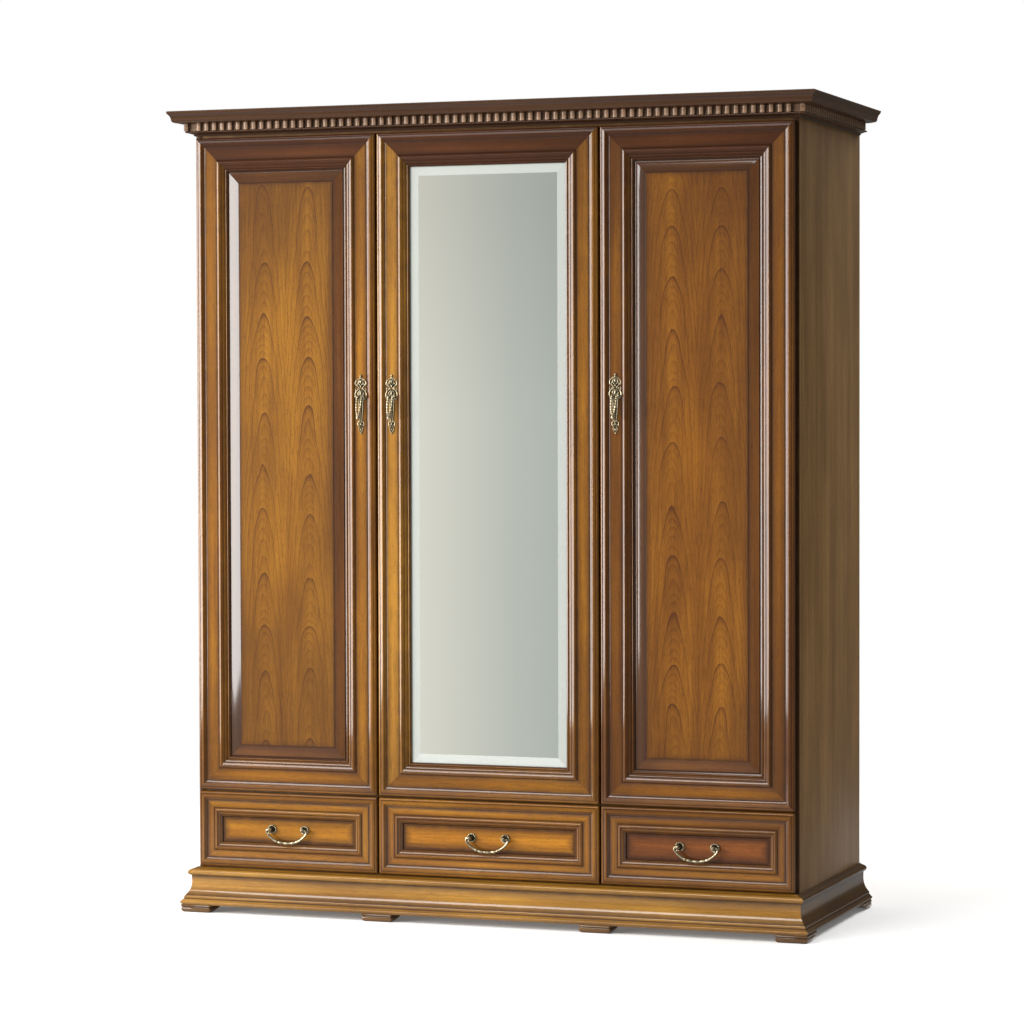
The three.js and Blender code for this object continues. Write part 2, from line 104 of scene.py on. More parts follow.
FRAME_WIDTH = 87
PANEL_GROOVE = 77
DOOR_SECTION = [
    *LIP, *dished_flat(55.6),
    (56.2, 15.1, 1), (57, 15.1, 1), (57.4, 15.9, 0.8), (59.2, 17.3, 0.6), (61.2, 18.6, 0.5),
    (62.6, 19.3, 0.45),
    *arc(63.9, 17.3, 2.3, 100, 55, 3, 0.45, 0.5),
    (67.6, 18.1, 0.55), (69.8, 16.8, 0.6), (71.3, 15.8, 0.8), (71.9, 15, 1), (72.7, 15, 1), (73.2, 15.4, 0.5),
    (75, 14.5, 0.55), (77.2, 13.1, 0.6), (79.1, 11.8, 0.6), (79.7, 10.7, 1), (80.5, 10.7, 1),
    *arc(82.3, 10.8, 1.6, 170, 20, 5, 0.4, 0.5),
    (84.4, 10, 1), (FRAME_WIDTH, 9, 1), (FRAME_WIDTH, 7, 1),
    (PANEL_GROOVE, 7, 1), (PANEL_GROOVE, 0.3, 0.6),
]

DRAWER_FRAME_WIDTH = 65
DRAWER_SECTION = [
    *LIP, *dished_flat(41.8),
    (42.4, 15, 1), (43.2, 15, 1), (43.6, 15.8, 0.7), (45.6, 17.3, 0.4), (47.6, 18.5, 0.3),
    *arc(49.6, 16.9, 2.2, 105, 50, 4, 0.3, 0.5),
    (52.6, 17.4, 0.6), (53.4, 16.6, 1), (54.2, 16.6, 1), (54.8, 16.9, 0.5), (57.2, 15.8, 0.4),
    (59.2, 14.6, 0.6),
    (60.2, 13.6, 1), (61.2, 13.6, 0.9), (62, 13.9, 0.7), (63.4, 12.9, 0.9),
    (DRAWER_FRAME_WIDTH, 10, 1), (DRAWER_FRAME_WIDTH, 0.3, 0.6),
]
DRAWER_FIELD_HEIGHT = 10

PANEL_EDGE = 77.3
PANEL_FIELD = 118
PANEL_HEIGHT = 13
PANEL_BORDER_SECTION = [
    (PANEL_EDGE, 0.5, 0.5), (PANEL_EDGE, 6.7, 1), (88.2, 6.7, 1), (89.4, 6.7, 1), (89.8, 8.2, 0.8),
    *arc(91.2, 7.6, 1.3, 150, 80, 3, 0.5, 0.3),
    (96, 9.6, 0.25), (102, 10.6, 0.25), (108, 11.4, 0.35), (114, 12, 0.6), (116.6, 12.2, 0.9),
    (117.2, 12.9, 0.5), (PANEL_FIELD - 0.05, PANEL_HEIGHT, 0.5), (PANEL_FIELD - 0.05, 0.5, 0.5),
]


def plinth_section(top):
    """From the inner face round by the foot moulding, the fillet, the cove and the torus on top."""
    return [
        (-20, top, 0.2), (-20, 0, 0.4), (30.5, 0, 0.7),
        *arc(30, 6, 4, -75, 75, 9, 0.5, 0.1),
        (28.6, 12.6, 0.3), (26.2, 14.6, 1), (25.4, 15.6, 1), (26.2, 17, 0.3), (26.3, 18.8, 0.2),
        (25.2, 21.6, 0.3), (23.4, 23, 0.9), (21.6, 25.4, 0.7), (18.4, 29.6, 0.5), (15.6, 34.2, 0.3),
        (13.4, 39.2, 0.1), (11.8, 44.6, 0), (10.8, 50.4, 0), (10.4, 56.4, 0.1), (10.4, 62, 0.3),
        (10.6, 67.6, 0.6), (10.9, 72, 0.9), (11.2, 73.6, 1),
        *arc(11.4, 81.6, 7.4, -80, 62, 12, 0.7, 0.1),
        (12.6, 89.4, 0.3), (9.4, 90.4, 0.8), (6, 91.6, 0.4), (2, top, 0.5),
    ]


DENTIL_PLANE = 12
DENTIL_FOOT = 12
SOFFIT = 30


def cornice_section(top):
    """From the inner face round by the bed mould, the dentil band, the soffit, the fascia and the nose."""
    return [
        (-20, top, 0.1), (-20, 0, 0.4), (2, 0, 1), (3, 4, 0.9), (7, 5, 0.5),
        (12, 6.8, 0.4), (16, 7.6, 0.5),
        *arc(17.6, 9.6, 1.9, -70, 70, 5, 0.4, 0.4),
        (17, 11.9, 0.8), (DENTIL_PLANE, DENTIL_FOOT, 0), (DENTIL_PLANE, SOFFIT, 0),
        (24, SOFFIT + 0.5, 0.9), (33, SOFFIT + 1.2, 0.6), (39, SOFFIT + 2.4, 0.5),
        *arc(39.2, SOFFIT + 9.6, 7.2, -75, 5, 8, 0.4, 0.2),
        (47.2, SOFFIT + 13, 0.2), (48.4, SOFFIT + 17, 0.4), (50.4, SOFFIT + 20.4, 0.8),
        (53.4, SOFFIT + 23.8, 0.6), (55, SOFFIT + 25.6, 0.3),
        *arc(54, top - 2.6, 2, -30, 80, 5, 0.2, 0.1),
        (52, top, 0),
    ]


# ---- mesh making

def linked(name, data):
    """A new object in the scene."""
    made = bpy.data.objects.new(name, data)
    bpy.context.scene.collection.objects.link(made)
    return made


def grain_offset(name):
    """A repeatable place in the log for each piece, so that no two show the same figure."""
    draw = random.Random(name)
    return Vector((draw.uniform(-3, 3), draw.uniform(-9, 9), draw.uniform(-3, 3)))


class Build:
    """Points and faces of one piece, with the grain coordinates and the darkening by stain and painted light
    that its wood needs.
    """

    def __init__(self, name, log=None):
        """The grain starts at a place in the log that belongs to the piece's name, or to another name."""
        self.name = name
        self.offset = grain_offset(log or name)
        self.points = []
        self.grain = []
        self.glaze = []
        self.faces = []

    def add(self, point, grain=(0, 0, 0), glaze=0):
        self.points.append(Vector(point))
        self.grain.append(Vector(grain) + self.offset)
        self.glaze.append(glaze)
        return len(self.points) - 1

    def loft(self, rows, close_last=True):
        """Faces from each ring of points to the next, and over the first ring and the last."""
        for first, second in zip(rows, rows[1:]):
            for i in range(len(first)):
                j = (i + 1) % len(first)
                self.faces.append((first[i], first[j], second[j], second[i]))
        self.faces.append(tuple(rows[0]))
        if close_last:
            self.faces.append(tuple(rows[-1]))

    def finish(self, material, crease=32):
        """The mesh with its grain and its darkening by stain and painted light, smooth up to the crease angle
        in degrees, as an object.
        """
        mesh = bpy.data.meshes.new(self.name)
        mesh.from_pydata([tuple(p) for p in self.points], [], self.faces)
        grain = mesh.attributes.new("grain", "FLOAT_VECTOR", "POINT")
        grain.data.foreach_set("vector", [c for g in self.grain for c in g])
        glaze = mesh.attributes.new("glaze", "FLOAT", "POINT")
        glaze.data.foreach_set("value", self.glaze)
        work = bmesh.new()
        work.from_mesh(mesh)
        bmesh.ops.recalc_face_normals(work, faces=work.faces)
        work.to_mesh(mesh)
        work.free()
        mesh.shade_smooth()
        mesh.set_sharp_from_angle(angle=math.radians(crease))
        mesh.materials.append(material)
        return linked(self.name, mesh)

    def settle(self, material, body, slot, *nodes, crease=32):
        """Rides the piece on its body and hides the CAD nodes that it stands for. The slot is not used."""
        piece = self.finish(material, crease)
        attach(piece, body)
        if nodes:
            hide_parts(*nodes)


# Shares of a member's length where its shade is set. Members darken towards their ends, partly as a stain
# sprayed darker towards the corners and partly as painted shade.
STATIONS = (0, 0.04, 0.09, 0.16, 0.25, 0.36, 0.64, 0.75, 0.84, 0.91, 0.96, 1)
SHADED_SHARE = 0.34


def end_stain_and_shade(share, strength):
    """How dark a member is at a share of its length, from sprayed stain and painted shade: strength at both
    ends, none in the middle.
    """
    edge = min(share, 1 - share)
    return strength * max(0, 1 - edge / SHADED_SHARE) ** 1.5


def darkest(first, second):
    """Two darkenings, by stain and by painted shade, laid over each other."""
    return 1 - (1 - min(first, 1)) * (1 - second)


MITRE_GAP = 0.12 * MM


def mitred_frame(name, section, box, material_of, body, slot, node, ends=0.42):
    """Four stiles and rails cut at 45 degrees, round a front that faces -Y and whose CAD box is given."""
    (x0, _, z0), (x1, back_y, z1) = box
    for side in ("bottom", "right", "top", "left"):
        level = side in ("bottom", "top")
        label = f"{name}_{side}_{'rail' if level else 'stile'}"
        build = Build(label)
        rows = []
        for share in STATIONS:
            row = []
            for inset, height, glaze in section:
                u = inset * MM
                cut = u + MITRE_GAP
                if level:
                    along = x = x0 + cut + share * (x1 - x0 - 2 * cut)
                    z = z0 + u if side == "bottom" else z1 - u
                else:
                    along = z = z0 + cut + share * (z1 - z0 - 2 * cut)
                    x = x0 + u if side == "left" else x1 - u
                shade = darkest(glaze, end_stain_and_shade(share, ends))
                row.append(build.add((x, back_y - height * MM, z), (u, along, height * MM), shade))
            rows.append(row)
        build.loft(rows)
        build.settle(material_of(side), body, slot, node)


def rounded_block(build, low, high, width, profile=0.5, look=lambda point: ()):
    """Adds a box with rounded edges. look gives a point's grain coordinates and darkening."""
    work = bmesh.new()
    bmesh.ops.create_cube(work, size=1)
    size, middle = high - low, (high + low) / 2
    for vertex in work.verts:
        vertex.co = Vector((vertex.co[i] * size[i] for i in range(3))) + middle
    bmesh.ops.bevel(work, geom=list(work.edges), offset=width, segments=2, profile=profile, affect="EDGES")
    start = len(build.points)
    for vertex in work.verts:
        build.add(vertex.co, *look(vertex.co))
    work.verts.index_update()
    build.faces += [tuple(start + v.index for v in face.verts) for face in work.faces]
    work.free()


def board(name, box, along, material, body, slot, *nodes, bevel=0.8, front_glaze=0):
    """A board with softened edges, its grain along the given axis. Its front edge may be stained."""
    low, high = Vector(box[0]), Vector(box[1])
    size = high - low
    width = min(bevel * MM, min(size) * 0.3)
    thin = min(range(3), key=lambda i: size[i])
    across = next(i for i in range(3) if i not in (along, thin))

    def look(point):
        in_front = point.y < low.y + width * 0.5
        return (point[across], point[along], point[thin]), front_glaze if in_front else 0

    build = Build(name)
    rounded_block(build, low, high, width, 0.6, look)
    build.settle(material, body, slot, *nodes, crease=50)


def circle(count):
    """Cosine and sine of evenly spread angles."""
    angles = [2 * math.pi * i / count for i in range(count)]
    return [(math.cos(angle), math.sin(angle)) for angle in angles]


def lathe(build, section, centre, axis, segments):
    """A turned shape. Section points are (radius, distance along the axis), in millimetres."""
    rows = []
    for radius, along in section:
        row = []
        for cosine, sine in circle(segments):
            local = [radius * cosine * MM, radius * sine * MM]
            local.insert(axis, along * MM)
            row.append(build.add(Vector(centre) + Vector(local)))
        rows.append(row)
    build.loft(rows)


def smooth_path(points, steps):
    """A Catmull-Rom curve through the points, with the given number of steps between two of them."""
    points = [Vector(p) for p in points]
    padded = [2 * points[0] - points[1], *points, 2 * points[-1] - points[-2]]
    result = []
    for i in range(len(points) - 1):
        a, b, c, d = padded[i:i + 4]
        for j in range(steps):
            t = j / steps
            result.append(0.5 * ((2 * b) + (c - a) * t + (2 * a - 5 * b + 4 * c - d) * t * t
                                 + (3 * b - a - 3 * c + d) * t ** 3))
    result.append(points[-1])
    return result


def tube(build, path, radius, centre, flatten=1, segments=12, glaze=0):
    """A round bar along a path in millimetres. radius is a function of 0..1 along it; flatten thins it."""
    rows = []
    total = len(path) - 1
    normal = Vector((0, 1, 0))
    for i, point in enumerate(path):
        tangent = (path[min(i + 1, total)] - path[max(i - 1, 0)]).normalized()
        normal = (normal - tangent * normal.dot(tangent)).normalized()
        side = tangent.cross(normal)
        r = radius(i / total)
        rows.append([build.add(Vector(centre) + (point + normal * (r * flatten * c) + side * (r * s)) * MM,
                               glaze=glaze) for c, s in circle(segments)])
    build.loft(rows)


def ball(build, place, radius, centre, stretch=1, flat=1, glaze=0):
    """A knob at a place in millimetres. stretch lengthens it in Z and flat thins it in Y."""
    rings, segments = 7, 12
    rows = []
    for i in range(rings):
        polar = math.pi * (i + 0.5) / rings
        r = radius * math.sin(polar)
        up = radius * stretch * math.cos(polar)
        rows.append([build.add(Vector(centre) + (Vector(place) + Vector((r * c, r * s * flat, up))) * MM,
                               glaze=glaze) for c, s in circle(segments)])
    build.loft(rows)


def rounded_ring(build, x0, x1, y0, y1, z, radius, glaze):
    """A rounded rectangle of points, level with the floor."""
    steps = 4
    row = []
    for cx, cy, start in ((x1, y1, 0), (x0, y1, 90), (x0, y0, 180), (x1, y0, 270)):
        for i in range(steps + 1):
            angle = math.radians(start + 90 * i / steps)
            x = cx + math.copysign(radius, (x0 + x1) / 2 - cx) + radius * math.cos(angle)
            y = cy + math.copysign(radius, (y0 + y1) / 2 - cy) + radius * math.sin(angle)
            row.append(build.add((x, y, z), (y, x, z), glaze))
    return row


# ---- materials

class Nodes:
    """Short calls for building the node tree of a world or a material."""

    def __init__(self, owner):
        owner.use_nodes = True
        self.tree = owner.node_tree
        self.tree.nodes.clear()

    def put(self, socket, value):
        if isinstance(value, bpy.types.NodeSocket):
            self.tree.links.new(value, socket)
        else:
            socket.default_value = value

    def new(self, kind, inputs=None, **settings):
        """A node with its settings, and its inputs by number or name."""
        made = self.tree.nodes.new("ShaderNode" + kind)
        for key, value in settings.items():
            setattr(made, key, value)
        for key, value in (inputs or {}).items():
            self.put(made.inputs[key], value)
        return made

    def math(self, operation, *values, clamp=False):
        return self.new("Math", dict(enumerate(values)), operation=operation, use_clamp=clamp).outputs[0]

    def plus(self, a, b):
        return self.math("ADD", a, b)

    def times(self, a, b):
        return self.math("MULTIPLY", a, b)

    def scaled(self, vector, factors):
        return self.new("VectorMath", {0: vector, 1: factors}, operation="MULTIPLY").outputs[0]

    def attribute(self, name):
        return self.new("Attribute", attribute_name=name)

    def split(self, vector):
        return self.new("SeparateXYZ", {0: vector}).outputs

    def noise(self, vector, scale=1, detail=4, roughness=0.55):
        inputs = {"Vector": vector, "Scale": scale, "Detail": detail, "Roughness": roughness}
        return self.new("TexNoise", inputs).outputs[0]

    def ramp(self, factor, *stops):
        """Each stop is (position, colour or grey level)."""
        made = self.new("ValToRGB", {0: factor})
        elements = made.color_ramp.elements
        while len(elements) < len(stops):
            elements.new(0.5)
        for element, (position, value) in zip(elements, stops):
            element.position = position
            element.color = (value, value, value, 1) if isinstance(value, (int, float)) else (*value, 1)
        return made.outputs[0]

    def mix(self, factor, a, b, blend="MIX"):
        a, b = ((*value, 1) if isinstance(value, tuple) else value for value in (a, b))
        return self.new("Mix", {0: factor, 6: a, 7: b}, data_type="RGBA", blend_type=blend).outputs[2]


class Finish(Nodes):
    """A material with one principled shader."""

    def __init__(self, name):
        self.material = bpy.data.materials.new(name)
        super().__init__(self.material)
        self.shader = self.new("BsdfPrincipled")
        self.new("OutputMaterial", {0: self.shader.outputs[0]})

    def place(self):
        return self.new("TexCoord").outputs["Object"]

    def bump(self, height, strength, distance):
        made = self.new("Bump", {"Strength": strength, "Distance": distance, "Height": height})
        self.put(self.shader.inputs["Normal"], made.outputs[0])

    def set(self, **values):
        for key, value in values.items():
            self.put(self.shader.inputs[key.replace("_", " ")], value)
        return self.material


RINGS_PER_METRE = 7.4
FINE_RINGS_PER_METRE = 37


def book_matched(n, grain, tone, half_spacing):
    """Darkens the tone along rounded arches in two mirrored columns, as on two leaves of one veneer."""
    x, y, z = n.split(grain)
    fold = n.math("ABSOLUTE", x)

    def waves(sideways, across, along, depth, detail):
        """Noise at its own scale across and along the leaf."""
        place = n.new("CombineXYZ", {0: n.times(sideways, across), 1: n.times(y, along), 2: depth})
        return n.noise(place.outputs[0], detail=detail)

    sway = n.times(n.math("SUBTRACT", waves(fold, 2, 3, z, 3), 0.5), 0.034)
    column = n.math("ABSOLUTE", n.math("SUBTRACT", n.plus(fold, sway), half_spacing))
    arch = n.times(n.math("POWER", column, 2.2), 225)
    slow = n.times(waves(x, 1.2, 3.2, 4.7, 2), 0.26)
    ragged = n.times(waves(x, 60, 16, 2.2, 4), 0.016)
    phase = n.plus(n.plus(n.plus(y, arch), slow), ragged)
    rings = n.math("FRACT", n.times(phase, RINGS_PER_METRE))
    late = n.plus(n.math("POWER", rings, 16), n.times(n.math("POWER", rings, 3), 0.28))
    fine = n.math("POWER", n.math("FRACT", n.times(phase, FINE_RINGS_PER_METRE)), 3)
    strength = n.plus(waves(fold, 9, 6, 9.1, 2), 0.40)
    lines = n.times(n.plus(n.times(late, 0.22), n.times(fine, 0.12)), strength)
    return n.math("SUBTRACT", n.plus(n.times(tone, 0.80), 0.155), lines)


def wood(name, light, mid, dark, stain_and_shade, gloss=0.40, coat=0.5, figure=None, sheen=0.04):
    """Lacquered wood. figure is None for straight grain, or the half-spacing in metres of the two
    mirrored columns of arches on a book-matched panel. The last colour is the stain, which fills the pores
    and the grooves and also serves as painted shade."""
    n = Finish(name)
    grain = n.attribute("grain").outputs["Vector"]
    glaze = n.attribute("glaze").outputs["Fac"]

    def drawn_out(across, along, detail, roughness=0.55):
        """Noise whose features run along the board."""
        return n.noise(n.scaled(grain, (across, along, across)), detail=detail, roughness=roughness)

    bands = drawn_out(16, 0.8, 3)
    streaks = drawn_out(90, 2.2, 5, 0.6)
    fibres = drawn_out(620, 24, 3, 0.65)
    mottle = drawn_out(7, 2.5, 3, 0.5)
    flecks = drawn_out(900, 110, 2, 0.6)
    tone = n.plus(n.times(bands, 0.55), n.times(streaks, 0.45))
    if figure is not None:
        tone = book_matched(n, grain, tone, figure)
    body = n.ramp(tone, (0.30, dark), (0.47, mid), (0.64, light))
    body = n.mix(n.ramp(mottle, (0.36, 0.5), (0.60, 0)), body, dark)
    pores = n.ramp(fibres, (0.36, 1), (0.47, 0))
    body = n.mix(n.times(pores, 0.34), body, stain_and_shade)
    body = n.mix(n.ramp(flecks, (0.30, 0.42), (0.44, 0)), body, stain_and_shade)
    cloud = n.noise(grain, scale=26, detail=2)
    reach = n.math("MULTIPLY", glaze, n.plus(n.times(cloud, 0.6), 0.70), clamp=True)
    body = n.mix(n.times(reach, 0.88), body, stain_and_shade)
    n.bump(n.plus(n.times(fibres, 0.7), n.times(streaks, 0.3)), 0.10, 0.0004)
    roughness = n.plus(n.times(fibres, 0.10), gloss - 0.05)
    return n.set(Base_Color=body, Roughness=roughness, Specular_IOR_Level=sheen, Coat_Weight=coat,
                 Coat_Roughness=0.06)


def antique_brass():
    """Cast brass: bright on the high points, brown-black in the hollows, and brown-black where the darkening
    attribute marks painted shade behind the scrolls and the pull.
    """
    n = Finish("antique_brass")
    place = n.place()
    grime = n.ramp(n.noise(place, scale=240, detail=4, roughness=0.6), (0.36, 0.25), (0.6, 1))
    wear = n.noise(place, scale=900, detail=2)
    high = n.ramp(n.new("NewGeometry").outputs["Pointiness"], (0.485, 0), (0.60, 1))
    hollow = n.new("AmbientOcclusion", {"Distance": 0.005}, samples=8)
    open_metal = n.times(n.math("SUBTRACT", 1, n.attribute("glaze").outputs["Fac"]),
                         n.ramp(hollow.outputs["AO"], (0.45, 0), (0.85, 1)))
    bright = n.times(n.times(high, open_metal), grime)
    colour = n.mix(bright, (0.024, 0.017, 0.009), (0.53, 0.46, 0.30))
    rough = n.plus(n.times(wear, 0.15), n.math("SUBTRACT", 0.34, n.times(bright, 0.12)))
    n.bump(wear, 0.25, 0.0003)
    return n.set(Base_Color=colour, Roughness=rough, Metallic=1)


def plated_steel(name, tint, gloss):
    """Steel with faint brush marks."""
    n = Finish(name)
    brushed = n.noise(n.scaled(n.place(), (60, 60, 900)), detail=3)
    colour = n.mix(n.times(brushed, 0.25), tint, tuple(c * 0.7 for c in tint))
    n.bump(brushed, 0.08, 0.0002)
    return n.set(Base_Color=colour, Roughness=n.plus(n.times(brushed, 0.1), gloss), Metallic=1)


def silvered_glass():
    """Mirror glass: clear on its face, and on the ground bevel, where the attribute is 1, mostly a flat light
    grey: a painted reflection.
    """
    n = Finish("silvered_glass")
    bevel = n.attribute("glaze").outputs["Fac"]
    ripple = n.noise(n.place(), scale=3, detail=1)
    colour = n.mix(ripple, (0.85, 0.87, 0.855), (0.88, 0.90, 0.885))
    colour = n.mix(bevel, colour, (0.345, 0.362, 0.34))
    return n.set(Base_Color=colour, Roughness=n.times(ripple, 0.03),
                 Metallic=n.math("SUBTRACT", 1, n.times(bevel, 0.82)))


def plain_board(name, light, dark, gloss):
    """Hardboard or a painted board: fine felted fibres and slight blotches."""
    n = Finish(name)
    place = n.place()
    felt = n.noise(place, scale=420, detail=4, roughness=0.7)
    blotch = n.noise(place, scale=5, detail=3)
    colour = n.mix(n.plus(n.times(felt, 0.6), n.times(blotch, 0.4)), dark, light)
    n.bump(felt, 0.2, 0.0003)
    return n.set(Base_Color=colour, Roughness=n.plus(n.times(felt, 0.15), gloss))


# The woods, each as its light, middle and dark colour and its stain, which also serves as painted shade.
STAIN_AND_SHADE = (0.020, 0.007, 0.003)
GOLDEN = ((0.225, 0.094, 0.006), (0.150, 0.057, 0.004), (0.070, 0.023, 0.0025), STAIN_AND_SHADE)
RUSSET = ((0.212, 0.080, 0.006), (0.140, 0.048, 0.004), (0.065, 0.019, 0.0025), STAIN_AND_SHADE)
REDDISH = ((0.082, 0.027, 0.007), (0.055, 0.017, 0.005), (0.030, 0.010, 0.003), STAIN_AND_SHADE)
RED_BROWN = ((0.180, 0.056, 0.010), (0.120, 0.035, 0.007), (0.062, 0.018, 0.004), STAIN_AND_SHADE)
PALE = ((0.42, 0.202, 0.022), (0.29, 0.130, 0.014), (0.14, 0.055, 0.008), STAIN_AND_SHADE)
BORDER = ((0.150, 0.056, 0.010), (0.098, 0.034, 0.007), (0.054, 0.018, 0.004), STAIN_AND_SHADE)
PLINTH = ((0.335, 0.168, 0.024), (0.232, 0.108, 0.014), (0.102, 0.041, 0.006), STAIN_AND_SHADE)
CORNICE = ((0.052, 0.022, 0.008), (0.036, 0.015, 0.006), (0.022, 0.009, 0.004), STAIN_AND_SHADE)
DENTIL = ((0.225, 0.142, 0.092), (0.170, 0.101, 0.062), (0.088, 0.048, 0.026), STAIN_AND_SHADE)
FOOT = ((0.150, 0.078, 0.024), (0.102, 0.050, 0.015), (0.054, 0.024, 0.008), STAIN_AND_SHADE)
SIDE = ((0.205, 0.118, 0.045), (0.154, 0.086, 0.033), (0.102, 0.054, 0.021), STAIN_AND_SHADE)
INSIDE = ((0.52, 0.31, 0.13), (0.42, 0.235, 0.095), (0.30, 0.155, 0.06), (0.05, 0.022, 0.009))


def toned(colours, share):
    """The colours of a wood, all but the stain and shade colour made lighter or darker."""
    return (*(tuple(c * share for c in colour) for colour in colours[:-1]), colours[-1])


# The fronts are toned one by one. The middle door's hinge side is the palest board; beyond that the doors
# darken from left to right, partly as boards differ and partly as painted light that falls off towards the
# right.
FRAME_WOODS = {
    "left_door": wood("left_frame_wood", *toned(GOLDEN, 1.27)),
    "middle_door": wood("middle_frame_wood", *toned(GOLDEN, 1.12)),
    "right_door": wood("right_frame_wood", *toned(RUSSET, 0.86)),
    "left_drawer": wood("left_drawer_wood", *toned(GOLDEN, 1.05), coat=0.35),
    "middle_drawer": wood("middle_drawer_wood", *toned(GOLDEN, 1.22), coat=0.35),
    "right_drawer": wood("right_drawer_wood", *toned(GOLDEN, 1.08), coat=0.35),
}
# The drawers' fields are toned one by one too; the right one is darkest, partly as painted shade where the
# light falls off towards the right.
FIELD_WOODS = {
    "left_drawer": wood("left_drawer_field_wood", *toned(GOLDEN, 1.28), coat=0.2),
    "middle_drawer": wood("middle_drawer_field_wood", *toned(GOLDEN, 1.65), coat=0.2),
    "right_drawer": wood("right_drawer_field_wood", *RED_BROWN, coat=0.2),
}
# The four sides of a panel's border are one board, given lighter and darker copies of one wood by the way
# they face: painted light and shade.
BORDER_LIT_AND_SHADED_WOODS = {
    "left": wood("left_border_wood", *toned(BORDER, 0.45), coat=0.6),
    "right": wood("right_border_wood", *toned(BORDER, 1.10)),
    "top": wood("top_border_wood", *toned(BORDER, 0.62)),
    "bottom": wood("bottom_border_wood", *toned(BORDER, 0.95), coat=0.3),
}
PALE_STILE = wood("pale_stile_wood", *PALE)
# The doors' top rails take a much darker, redder wood than the stiles; the darkness is partly painted shadow
# of the cornice.
TOP_RAIL_WOOD_AND_SHADOW = wood("top_rail_wood_and_shadow", *REDDISH, coat=0.12)
PLINTH_WOOD = wood("plinth_wood", *PLINTH, gloss=0.30, sheen=0.11)
# The plinth's sides take a much darker copy of its wood: partly a darker stain, partly painted shade.
PLINTH_SIDE_WOOD_AND_SHADE = wood("plinth_side_wood_and_shade", *toned(PLINTH, 0.23), coat=0.1)
CORNICE_WOOD = wood("cornice_wood", *CORNICE, coat=0.3)
DENTIL_WOOD = wood("dentil_wood", *DENTIL, coat=0.15)
FOOT_WOOD = wood("foot_wood", *FOOT)
SIDE_WOOD = wood("side_wood", *SIDE, gloss=0.50, coat=0.03)
INSIDE_WOOD = wood("inside_wood", *INSIDE, coat=0.1)
BRASS = antique_brass()
STEEL = plated_steel("hinge_steel", (0.62, 0.63, 0.64), 0.24)
CHROME = plated_steel("rail_chrome", (0.80, 0.81, 0.82), 0.10)
MIRROR = silvered_glass()
BACKING = plain_board("mirror_backing", (0.10, 0.085, 0.065), (0.05, 0.04, 0.032), 0.7)
HARDBOARD = plain_board("back_board", (0.46, 0.31, 0.18), (0.30, 0.19, 0.10), 0.65)


def frame_finish(front, side):
    """The wood of one side of a door's or drawer's frame."""
    # The doors' top rails carry painted shadow of the cornice in their wood.
    if side == "top" and front in DOORS:
        return TOP_RAIL_WOOD_AND_SHADOW
    if (front, side) == ("middle_door", "left"):
        return PALE_STILE
    return FRAME_WOODS[front]


# ---- carcass, plinth, cornice and feet

def rebated_side(node, outwards):
    """A side board with softened edges, rebated along the inside of its back edge for the back boards."""
    low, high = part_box(node)
    outer, inner = (low.x, high.x) if outwards < 0 else (high.x, low.x)
    edge = 1.2 * MM
    soft = edge * 0.3
    rebate_width, rebate_depth = 9 * MM, 5 * MM
    shoulder = high.y - rebate_depth
    step = inner + outwards * rebate_width
    outline = [
        (outer, low.y + edge), (outer - outwards * soft, low.y + soft), (outer - outwards * edge, low.y),
        (inner + outwards * edge, low.y), (inner + outwards * soft, low.y + soft), (inner, low.y + edge),
        (inner, shoulder), (step, shoulder), (step, high.y),
        (outer - outwards * edge, high.y), (outer - outwards * soft, high.y - soft), (outer, high.y - edge),
    ]
    build = Build(f"{node}_board", log=node)
    rows = []
    for share in STATIONS:
        # The side boards darken towards the top and the bottom: painted shade.
        z = low.z + share * (high.z - low.z)
        rows.append([build.add((x, y, z), (y, z, x), 1 if y < low.y + edge / 2 else end_stain_and_shade(share, 0.30))
                     for x, y in outline])
    build.loft(rows)
    build.settle(SIDE_WOOD, "carcass", "side_wood", node, crease=50)


def make_carcass():
    """The two sides, and the plain boards in groups that look alike."""
    rebated_side("side_panel_left", -1)
    rebated_side("side_panel_right", 1)
    # CAD nodes, axis of the grain, rounding of the edges in mm, stain on the front edge.
    for nodes, along, bevel, front_glaze in (
        (("divider_panel", "drawer_divider_left", "drawer_divider_right"), Z, 0.8, 1),
        (("bottom_panel", "deck_panel", "top_panel"), X, 0.8, 1),
        (("hat_shelf", *SHELVES), X, 0.8, 0),
        (("plinth_back_rail", "cornice_back_rail"), X, 1.5, 0),
    ):
        for node in nodes:
            board(f"{node}_board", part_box(node), along, INSIDE_WOOD, "carcass", "inside_wood", node,
                  bevel=bevel, front_glaze=front_glaze)
    for node in BACK_BOARDS:
        board(f"{node}_board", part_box(node), Z, HARDBOARD, "carcass", "back_board", node, bevel=0.5)


def surround(name, section_for, front_shift, material, side_material):
    """Three mitred lengths round the carcass's front and sides, each in place of its CAD node."""
    low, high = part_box(f"{name}_front")
    section = section_for((high.z - low.z) / MM)
    base = FRONT - front_shift
    for side in ("front", "left", "right"):
        label = f"{name}_{side}_moulding"
        build = Build(label)
        rows = []
        for end in (0, 1):
            row = []
            for out, up, glaze in section:
                o, z = out * MM, low.z + up * MM
                if side == "front":
                    along = x = LEFT - o + MITRE_GAP if end == 0 else RIGHT + o - MITRE_GAP
                    y = base - o
                else:
                    along = y = base - o + MITRE_GAP if end == 0 else BACK
                    x = LEFT - o if side == "left" else RIGHT + o
                row.append(build.add((x, y, z), (o + z, along, z - o), glaze))
            rows.append(row)
        build.loft(rows)
        finish = material if side == "front" else side_material
        build.settle(finish, "carcass", "moulding_wood", f"{name}_{side}")


def dentil_point(build, place, level, out, glaze):
    """A point of the dentil band at a level, out from its ground."""
    return build.add((place.x, place.y, level), (level, place.x + place.y, out), glaze)


